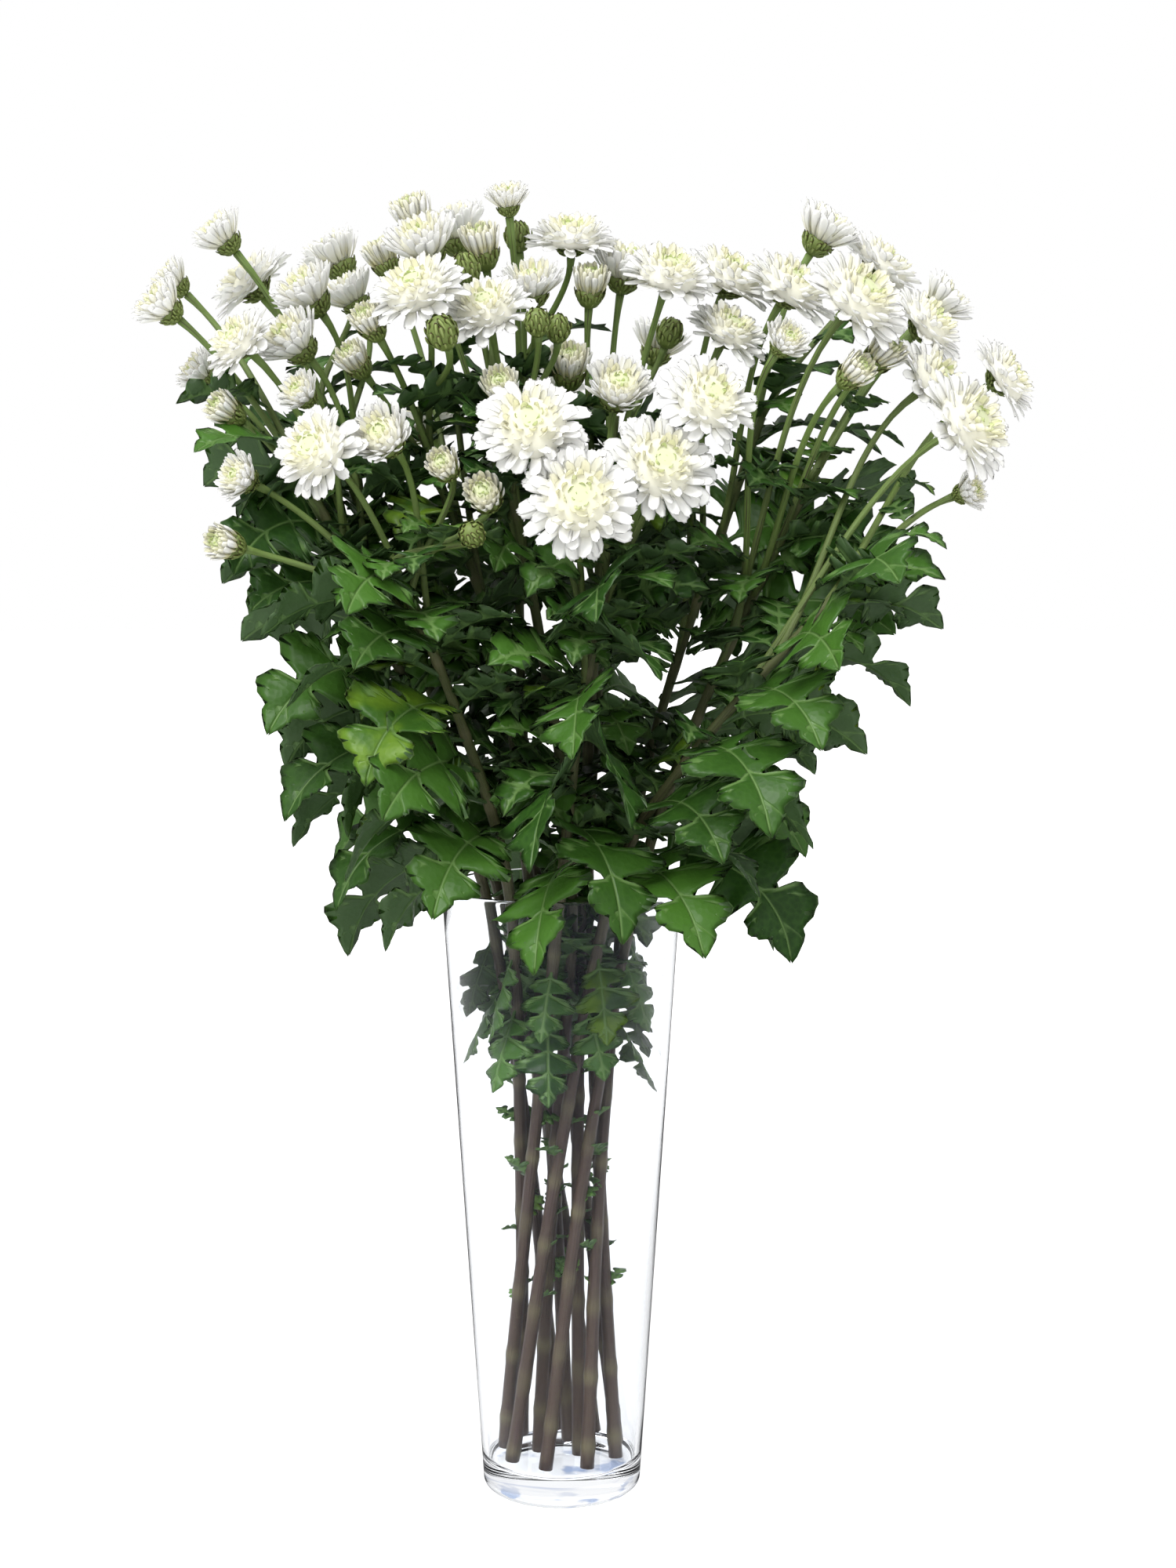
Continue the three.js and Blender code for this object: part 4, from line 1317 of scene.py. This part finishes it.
@dataclass
class Spray:
    """One leafy stem with the heads that it carries.

    slot is the stem's bearing in the vase's neck in degrees, and knee and crown are where it starts to branch
    and where it ends. leaf_spacing is the run from leaf to leaf, and heads run from the lowest branch up.
    Some stems have leaf_start, the run from the neck to the first leaf, and leaf_bearings, the two bearings
    that their leaves take in turn. number is the stem's place in the bunch, which its scatter is worked out
    from.
    """

    name: str
    ring: Ring
    slot: float
    knee: tuple[float, float, float]
    crown: tuple[float, float, float]
    leaf_spacing: float
    heads: tuple[Head, ...]
    leaf_start: float | None = None
    leaf_bearings: tuple[float, float] | None = None
    number: int = 0

    STEM_RINGS = 110
    STEM_SIDES = 16
    STEM_RADIUS = (0.0032, 0.0020)
    RIB = 0.035
    JOINT_SPACING = 0.034
    JOINT_SHIFT = 0.02
    JOINT_SHARPNESS = 14
    JOINT_SWELL = 0.16
    GREEN_FROM = 0.16
    GREEN_OVER = 0.30
    STEM_YOUTH = 0.75
    PEDICEL_RINGS = 17
    PEDICEL_SIDES = 10
    PEDICEL_RADIUS = (0.0017, 0.0014)
    PEDICEL_SPREAD = 0.5
    PEDICEL_LEAVING = 0.35
    PEDICEL_MEETING = 0.3
    PEDICEL_YOUTH = 0.80
    PEDICEL_GREENING = 0.4
    FLARE = 0.5
    FLARE_START = 0.9
    SPRAYS_IN_ALL = 12
    SEED_STEP = 10
    SEEDS_EACH = 300
    PEDICEL_LEAVES = ((0.05, 0.052), (0.27, 0.044), (0.52, 0.028))
    PEDICEL_LEAF_TURN = 70.0
    PEDICEL_LEAF_MOST = 0.8
    SIDE_LEAVES = 14
    SIDE_LEAF_ENDS = (0.15, 0.02)
    SIDE_LEAF_SHIFT = 0.6
    NECK_LEAVES = (0.248, 0.264, 0.280, 0.294)
    STUB_SHIFT = 0.02
    STUB_HEIGHTS = (0.104, 0.128, 0.152, 0.176, 0.200)

    @property
    def outer(self) -> bool:
        """Whether the stem stands in the outer ring."""
        return self.ring == OUTER_RING

    def line(self) -> StemLine:
        """Line of the stem from its cut end to its crown.

        Returns:
            The line through the cut end, the waist, the neck, the knee and the crown.
        """
        return StemLine(np.array([
            polar(self.ring.foot, self.slot - NECK_TWIST + FOOT_TWIST, CUT_END_HEIGHT),
            polar(self.ring.waist, self.slot - NECK_TWIST, WAIST_HEIGHT),
            polar(self.ring.neck, self.slot, NECK_HEIGHT),
            np.array(self.knee),
            np.array(self.crown)]))

    def leaves(self) -> list[Leaf]:
        """Places the stem's leaves: a few hung inside the vase, then an even run up to the crown.

        Returns:
            The leaves.
        """
        line = self.line()
        hold = OUTER_LEAVES if self.outer else INNER_LEAVES
        hung = VASE_LEAF_HEIGHTS if self.outer else ()
        lift = VASE_LEAF_STAGGER * (self.number % VASE_LEAF_CYCLE)
        found = [(line.parameter_at(height + lift), VASE_LEAF) for height in hung]
        steps = 200
        walk = line.at(NECK + 2 * np.arange(steps + 1) / steps)
        run, due = 0.0, hold.first if self.leaf_start is None else self.leaf_start
        for i in range(1, steps + 1):
            run += float(np.linalg.norm(walk[i] - walk[i - 1]))
            if run < due:
                continue
            share = i / steps
            found.append((NECK + 2 * share, tuple(between(a, b, share) for a, b in zip(hold.low, hold.high))))
            due += self.leaf_spacing
        return [self.leaf_at(line, i, t, shape) for i, (t, shape) in enumerate(found)]

    def leaf_at(self, line: StemLine, index: int, t: float, shape: tuple[float, float, float]) -> Leaf:
        """Makes one leaf, turned and rolled to alternate sides with a little scatter.

        Args:
            line: The stem's line.
            index: The leaf's number on the stem.
            t: Where on the line it grows.
            shape: Its length, rise and droop before scatter.

        Returns:
            The leaf.
        """
        seed = self.SEED_STEP * (self.SPRAYS_IN_ALL * self.number + index + 1)
        root = line.at(t)
        turn = LEAF_TURN.per_metre * (math.hypot(root[0], root[1]) - LEAF_TURN.start)
        held = min(max(turn, LEAF_TURN.least), LEAF_TURN.most)
        side = 1 if index % 2 else -1
        free = t > NECK
        loose = LEAF_STRAY if free else VASE_LEAF_STRAY
        length, rise, droop = shape
        aim = self.leaf_bearings[index % 2] if self.leaf_bearings else bearing_of(root) + side * held
        return Leaf(
            root=root,
            bearing=aim + loose.turn * stray(seed + 1),
            length=length * (1 + loose.length * stray(seed + 2)),
            rise=rise + loose.rise * stray(seed + 3),
            droop=droop + loose.droop * stray(seed + 4),
            roll=(side * LEAF_ROLL if free else 0.0) + loose.roll * stray(seed + 5),
            seed=seed,
            fold=Leaf.fold if free else -Leaf.fold)

    def small_leaves(self) -> list[Leaf]:
        """Places the small leaves and the stubs.

        Returns:
            Small leaves on each pedicel, side leaves up the stem, a few that fill the vase's neck, and
            the stubs of the leaves that were stripped inside the vase.
        """
        found = []
        first = self.SEEDS_EACH * self.number
        for order in range(len(self.heads)):
            route = self.pedicel(order)
            way = route[-1] - route[0]
            most = self.PEDICEL_LEAF_MOST * float(np.linalg.norm(way))
            for step, (share, length) in enumerate(self.PEDICEL_LEAVES):
                side = 1 if (order + step) % 2 else -1
                found.append(PEDICEL_LEAF.grow(
                    route[round(share * (len(route) - 1))], bearing_of(way) + side * self.PEDICEL_LEAF_TURN,
                    first + self.SEED_STEP * (len(self.PEDICEL_LEAVES) * order + step), min(length, most)))
        line = self.line()
        low, high = NECK + self.SIDE_LEAF_ENDS[0], line.last - self.SIDE_LEAF_ENDS[1]
        for step in range(self.SIDE_LEAVES):
            seed = first + self.SEED_STEP * step
            place = between(low, high, (step + 0.5 + self.SIDE_LEAF_SHIFT * stray(seed)) / self.SIDE_LEAVES)
            found.append(SIDE_LEAF.grow(line.at(place), 0.0, seed))
        for step, height in enumerate(self.NECK_LEAVES):
            root = line.at(line.parameter_at(height))
            found.append(NECK_LEAF.grow(root, bearing_of(-root), first + self.SEED_STEP * step))
        for step, height in enumerate(self.STUB_HEIGHTS):
            seed = first + self.SEED_STEP * step
            root = line.at(line.parameter_at(height + self.STUB_SHIFT * stray(seed)))
            found.append(STUB.grow(root, 0.0, seed))
        return found

    def pedicel(self, order: int) -> np.ndarray:
        """Line of one pedicel.

        Args:
            order: The number of its head.

        Returns:
            Points from the stem to the foot of the head.
        """
        line, head = self.line(), self.heads[order]
        t = NECK + 1 + (order + 1) / len(self.heads)
        start = line.at(t)
        span = float(np.linalg.norm(head.foot - start))
        leave = between(line.direction(t), (head.foot - start) / span, self.PEDICEL_SPREAD)
        corners = [start, start + leave * self.PEDICEL_LEAVING * span,
                   head.foot - head.facing * self.PEDICEL_MEETING * span, head.foot]
        share = np.linspace(0, 1, self.PEDICEL_RINGS)[:, None]
        weights = [(1 - share)**3, 3 * share * (1 - share)**2, 3 * share**2 * (1 - share), share**3]
        return sum(w * c for w, c in zip(weights, corners))

    def add_stalk(self, skin: Skin, centres: np.ndarray, radii: np.ndarray, youth: np.ndarray,
                  joints: np.ndarray, sides: int) -> None:
        """Adds a ribbed stalk along a line.

        Args:
            skin: The skin that it is added to.
            centres: Points of the line.
            radii: Radius at each.
            youth: From woody at 0 to green at 1, at each.
            joints: How close a joint is at each.
            sides: Corners of the section. Every other one is a rib.
        """
        ahead = unit(np.gradient(centres, axis=0))
        across = axes_across(ahead[0])[0]
        frames = []
        for direction in ahead:
            across = unit(across - direction * (across @ direction))
            frames.append((across, np.cross(direction, across)))
        first, second = (np.array(axis)[:, None, :] for axis in zip(*frames))
        angles = np.linspace(0, 2 * math.pi, sides, endpoint=False)
        ribbed = radii[:, None] * (1 + self.RIB * np.where(np.arange(sides) % 2, -1, 1)[None, :])
        circle = first * np.cos(angles)[None, :, None] + second * np.sin(angles)[None, :, None]
        rings = centres[:, None, :] + circle * ribbed[..., None]
        run = np.concatenate([[0], np.cumsum(np.linalg.norm(np.diff(centres, axis=0), axis=1))])
        shape = ribbed.shape
        spots = np.stack([np.broadcast_to(np.cos(angles), shape), np.broadcast_to(np.sin(angles), shape),
                          np.broadcast_to(run[:, None] + centres[0, 0], shape)], axis=-1)
        tint = stray(100 * centres[0, 0] + 7 * centres[-1, 2]) + 0.5
        hues = np.stack([np.broadcast_to(youth[:, None], shape), np.full(shape, tint),
                         np.broadcast_to(joints[:, None], shape)], axis=-1)
        skin.take_loft(rings, spots, hues)

    def build_stalks(self, material: bpy.types.Material) -> bpy.types.Object:
        """Makes the main stem with its swollen joints, and its pedicels.

        Args:
            material: The stems' finish.

        Returns:
            The piece.
        """
        line, skin = self.line(), Skin()
        t = np.linspace(0, line.last, self.STEM_RINGS)
        centres = line.at(t)
        radii = between(*self.STEM_RADIUS, t / line.last)
        shift = self.JOINT_SHIFT * stray(self.number + 3)
        waves = 0.5 + 0.5 * np.cos(2 * math.pi * (centres[:, 2] + shift) / self.JOINT_SPACING)
        joints = waves**self.JOINT_SHARPNESS
        youth = np.clip((centres[:, 2] - self.GREEN_FROM) / self.GREEN_OVER, 0, 1) * self.STEM_YOUTH
        self.add_stalk(skin, centres, radii * (1 + self.JOINT_SWELL * joints), youth, joints, self.STEM_SIDES)
        for order, head in enumerate(self.heads):
            route = self.pedicel(order)
            share = np.linspace(0, 1, len(route))
            thick = between(*self.PEDICEL_RADIUS, share)
            flare = 1 + self.FLARE * np.clip((share - self.FLARE_START) / (1 - self.FLARE_START), 0, 1)
            young = self.PEDICEL_YOUTH + self.PEDICEL_GREENING * share * (0.7 + stray(head.seed() % 97))
            self.add_stalk(skin, route, thick * flare, young, np.zeros(len(route)), self.PEDICEL_SIDES)
        return skin.piece("stalks_" + self.name, material)

    def build_leaves(self, material: bpy.types.Material) -> bpy.types.Object:
        """Makes the stem's leaves.

        Args:
            material: Material of the leaves.

        Returns:
            The piece with all of them.
        """
        skin = Skin()
        for leaf in self.leaves() + self.small_leaves():
            leaf.add_to(skin)
        return skin.piece("leaves_" + self.name, material)

    def build_bracts(self, material: bpy.types.Material) -> bpy.types.Object:
        """Makes the calyxes under all of the heads, and the green buds.

        Args:
            material: Material of the bracts.

        Returns:
            The piece with all of them.
        """
        skin = Skin()
        for head in self.heads:
            head.add_cup(skin)
            head.add_blades(skin, head.form.bracts)
        return skin.piece("bracts_" + self.name, material)

    def build(self, finishes: Finishes) -> None:
        """Makes everything that grows on the stem.

        Args:
            finishes: The living finishes.
        """
        node = "stem_" + self.name
        settle(self.build_stalks(finishes.stem), "stem", node)
        settle(self.build_leaves(finishes.leaf), "foliage", node)
        settle(self.build_bracts(finishes.bract), "bract", node)
        tufts = [head for head in self.heads if head.stage is Stage.TUFT]
        if tufts:
            skin = Skin()
            for head in tufts:
                head.add_petals(skin)
            settle(skin.piece("tufts_" + self.name, finishes.petal), "petals", node)
        blooms = [head for head in self.heads if head.stage in (Stage.OPEN, Stage.HALF)]
        for index, head in enumerate(blooms, 1):
            skin = Skin()
            head.add_petals(skin)
            label = f"{self.name}_{index}"
            settle(skin.piece("petals_" + label, finishes.petal), "petals", "bloom_" + label)


OPEN, HALF, TUFT, BUD = Stage.OPEN, Stage.HALF, Stage.TUFT, Stage.BUD

SPRAYS = (
    Spray(
        "front", OUTER_RING, 270, knee=(0.009, -0.052, 0.384), crown=(0.022, -0.062, 0.451),
        leaf_spacing=0.021,
        heads=(
            Head(0.009, -0.101, 0.484, 0.052, OPEN),
            Head(-0.012, -0.088, 0.516, 0.050, OPEN),
            Head(0.044, -0.082, 0.499, 0.050, OPEN),
            Head(0.066, -0.070, 0.528, 0.046, OPEN),
            Head(0.026, -0.052, 0.532, 0.032, HALF),
            Head(-0.026, -0.050, 0.533, 0.020, TUFT),
        )),
    Spray(
        "front_left", OUTER_RING, 230, knee=(-0.048, -0.044, 0.388), crown=(-0.076, -0.064, 0.456),
        leaf_spacing=0.016,
        heads=(
            Head(-0.106, -0.080, 0.506, 0.044, OPEN),
            Head(-0.076, -0.076, 0.511, 0.031, HALF),
            Head(-0.142, -0.057, 0.494, 0.024, HALF),
            Head(-0.148, -0.070, 0.465, 0.018, TUFT),
            Head(-0.050, -0.080, 0.499, 0.017, TUFT),
            Head(-0.032, -0.084, 0.486, 0.020, TUFT),
            Head(-0.038, -0.092, 0.470, 0.013, BUD),
        )),
    Spray(
        "left", OUTER_RING, 190, knee=(-0.068, -0.010, 0.385), crown=(-0.124, -0.016, 0.505),
        leaf_spacing=0.019,
        heads=(
            Head(-0.146, -0.034, 0.556, 0.038, OPEN),
            Head(-0.122, -0.014, 0.556, 0.034, HALF),
            Head(-0.170, 0.012, 0.544, 0.024, HALF),
            Head(-0.116, -0.044, 0.532, 0.022, HALF),
            Head(-0.153, -0.026, 0.525, 0.018, TUFT),
            Head(-0.183, -0.014, 0.573, 0.028, HALF),
            Head(-0.184, 0.020, 0.587, 0.024, HALF),
        )),
    Spray(
        "back_left", OUTER_RING, 150, knee=(-0.062, 0.028, 0.385), crown=(-0.118, 0.042, 0.530),
        leaf_spacing=0.024,
        heads=(
            Head(-0.160, 0.020, 0.608, 0.028, HALF),
            Head(-0.152, 0.060, 0.589, 0.046, OPEN),
            Head(-0.118, 0.010, 0.579, 0.034, HALF),
            Head(-0.102, 0.054, 0.582, 0.030, HALF),
            Head(-0.112, 0.082, 0.602, 0.034, HALF),
        )),
    Spray(
        "inner_left", INNER_RING, 170, knee=(-0.030, 0.000, 0.410), crown=(-0.067, -0.001, 0.520),
        leaf_spacing=0.023, leaf_start=0.104, leaf_bearings=(210, 170),
        heads=(
            Head(-0.070, 0.026, 0.617, 0.022, TUFT),
            Head(-0.086, 0.046, 0.600, 0.020, TUFT),
            Head(-0.086, -0.036, 0.564, 0.018, TUFT),
            Head(-0.095, -0.012, 0.548, 0.018, TUFT),
            Head(-0.064, -0.044, 0.578, 0.046, OPEN),
            Head(-0.052, -0.070, 0.559, 0.016, BUD),
        )),
    Spray(
        "centre_left", INNER_RING, 290, knee=(-0.008, -0.015, 0.410), crown=(-0.030, -0.020, 0.525),
        leaf_spacing=0.025, leaf_start=0.036, leaf_bearings=(240, 252),
        heads=(
            Head(-0.063, -0.004, 0.600, 0.036, HALF),
            Head(-0.033, -0.034, 0.570, 0.044, OPEN),
            Head(-0.044, -0.008, 0.592, 0.015, BUD),
            Head(-0.010, -0.047, 0.565, 0.013, BUD),
            Head(-0.001, -0.034, 0.563, 0.013, BUD),
            Head(-0.037, 0.010, 0.602, 0.022, TUFT),
        )),
    Spray(
        "back_centre", OUTER_RING, 110, knee=(-0.020, 0.046, 0.382), crown=(-0.022, 0.048, 0.540),
        leaf_spacing=0.021,
        heads=(
            Head(-0.025, 0.014, 0.624, 0.022, HALF),
            Head(-0.021, 0.036, 0.611, 0.014, BUD),
            Head(-0.052, 0.062, 0.613, 0.036, HALF),
            Head(-0.013, -0.002, 0.582, 0.030, HALF),
            Head(0.005, 0.024, 0.607, 0.044, OPEN),
        )),
    Spray(
        "centre", INNER_RING, 50, knee=(0.016, 0.012, 0.410), crown=(0.026, 0.010, 0.525),
        leaf_spacing=0.025, leaf_start=0.030, leaf_bearings=(292, 60),
        heads=(
            Head(0.014, 0.012, 0.584, 0.020, TUFT),
            Head(0.030, 0.034, 0.592, 0.034, HALF),
            Head(0.050, -0.014, 0.587, 0.045, OPEN),
            Head(0.052, 0.020, 0.564, 0.014, BUD),
            Head(0.004, 0.002, 0.545, 0.022, TUFT),
        )),
    Spray(
        "back_right", OUTER_RING, 30, knee=(0.049, 0.034, 0.380), crown=(0.098, 0.038, 0.525),
        leaf_spacing=0.026,
        heads=(
            Head(0.080, 0.022, 0.588, 0.048, OPEN),
            Head(0.078, -0.004, 0.562, 0.040, OPEN),
            Head(0.107, 0.000, 0.582, 0.048, OPEN),
            Head(0.126, 0.046, 0.611, 0.034, HALF),
            Head(0.156, 0.058, 0.597, 0.046, OPEN),
        )),
    Spray(
        "right", OUTER_RING, 350, knee=(0.067, -0.001, 0.384), crown=(0.118, -0.003, 0.494),
        leaf_spacing=0.020,
        heads=(
            Head(0.134, -0.046, 0.574, 0.053, OPEN),
            Head(0.100, -0.064, 0.554, 0.022, HALF),
            Head(0.132, -0.056, 0.541, 0.018, TUFT),
            Head(0.147, -0.030, 0.550, 0.020, TUFT),
            Head(0.172, 0.004, 0.566, 0.044, OPEN),
            Head(0.184, 0.048, 0.579, 0.030, HALF),
        )),
    Spray(
        "front_right", OUTER_RING, 310, knee=(0.058, -0.050, 0.364), crown=(0.137, -0.062, 0.455),
        leaf_spacing=0.017,
        heads=(
            Head(0.182, -0.060, 0.518, 0.052, OPEN),
            Head(0.172, -0.020, 0.538, 0.046, OPEN),
            Head(0.210, 0.014, 0.542, 0.042, OPEN),
            Head(0.188, -0.024, 0.488, 0.020, HALF),
        )),
    Spray(
        "back", OUTER_RING, 70, knee=(0.018, 0.060, 0.385), crown=(0.020, 0.092, 0.483),
        leaf_spacing=0.019,
        heads=(
            Head(-0.070, 0.118, 0.520, 0.044, OPEN),
            Head(-0.010, 0.128, 0.540, 0.046, OPEN),
            Head(0.030, 0.134, 0.500, 0.044, OPEN),
            Head(0.048, 0.100, 0.560, 0.032, HALF),
            Head(0.086, 0.100, 0.532, 0.044, OPEN),
        )),
)


@dataclass
class Studio:
    """Plain pale floor, soft light all round with a gentle key from the front left, and the camera."""

    floor_radius: float = 8.0
    floor_drop: float = 0.0002
    floor_depth: float = 0.05
    floor_sides: int = 64
    camera_place: tuple[float, float, float] = (0.013, -1.240, 0.490)
    camera_pitch: float = 6.5
    lens: float = 59.4
    seen_light: float = 1.0
    ambient_light: float = 1.2
    mirrored_light: float = 0.30
    key_strength: float = 3.0
    key_spread: float = 40.0
    key_angles: tuple[float, float] = (38.0, -28.0)

    def build_floor(self) -> None:
        """Makes the round floor."""
        skin = Skin()
        angles = np.linspace(0, 2 * math.pi, self.floor_sides, endpoint=False)
        circle = np.stack([np.cos(angles), np.sin(angles), 0 * angles], axis=1) * self.floor_radius
        rings = np.array([circle - UP * self.floor_depth, circle - UP * self.floor_drop])
        skin.take_loft(rings, np.zeros(3), np.zeros(3))
        floor = skin.piece("studio_floor", StudioPaper().material())
        floor.data.polygons.foreach_set("use_smooth", [False] * len(floor.data.polygons))

    def build_light(self) -> None:
        """Makes the soft light: an even sky and one broad key."""
        world = bpy.data.worlds.new("studio")
        bpy.context.scene.world = world
        world.use_nodes = True
        nodes, links = world.node_tree.nodes, world.node_tree.links
        nodes.clear()
        path = nodes.new("ShaderNodeLightPath")
        seen = nodes.new("ShaderNodeMath")
        seen.operation = "MAXIMUM"
        links.new(path.outputs["Is Camera Ray"], seen.inputs[0])
        links.new(path.outputs["Is Transmission Ray"], seen.inputs[1])
        unseen = nodes.new("ShaderNodeMapRange")
        unseen.inputs["To Min"].default_value = self.ambient_light
        unseen.inputs["To Max"].default_value = self.mirrored_light
        links.new(path.outputs["Is Glossy Ray"], unseen.inputs["Value"])
        strength = nodes.new("ShaderNodeMapRange")
        strength.inputs["To Max"].default_value = self.seen_light
        links.new(unseen.outputs["Result"], strength.inputs["To Min"])
        links.new(seen.outputs[0], strength.inputs["Value"])
        sky = nodes.new("ShaderNodeBackground")
        sky.inputs["Color"].default_value = (1.0, 1.0, 1.0, 1.0)
        links.new(strength.outputs["Result"], sky.inputs["Strength"])
        output = nodes.new("ShaderNodeOutputWorld")
        links.new(sky.outputs[0], output.inputs[0])
        key = bpy.data.lights.new("key", "SUN")
        key.energy = self.key_strength
        key.angle = math.radians(self.key_spread)
        lamp = bpy.data.objects.new("key", key)
        lamp.rotation_euler = (math.radians(self.key_angles[0]), 0.0, math.radians(self.key_angles[1]))
        bpy.context.scene.collection.objects.link(lamp)

    def build_camera(self) -> None:
        """Makes the camera, at the place and angle the bunch is seen from."""
        data = bpy.data.cameras.new("camera")
        data.lens = self.lens
        camera = bpy.data.objects.new("camera", data)
        camera.location = self.camera_place
        camera.rotation_euler = (math.radians(90 - self.camera_pitch), 0.0, 0.0)
        bpy.context.scene.collection.objects.link(camera)
        bpy.context.scene.camera = camera

    def build(self) -> None:
        """Makes the studio."""
        bpy.context.scene.view_settings.view_transform = "Standard"
        self.build_camera()
        self.build_light()
        self.build_floor()


def main() -> None:
    """Builds the studio, the vase and the bunch."""
    logging.basicConfig(level=logging.INFO, format="%(message)s")
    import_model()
    Studio().build()
    GlassVase().build()
    finishes = Finishes.made()
    for number, spray in enumerate(SPRAYS):
        spray.number = number
        spray.build(finishes)


if __name__ == "__main__":
    main()
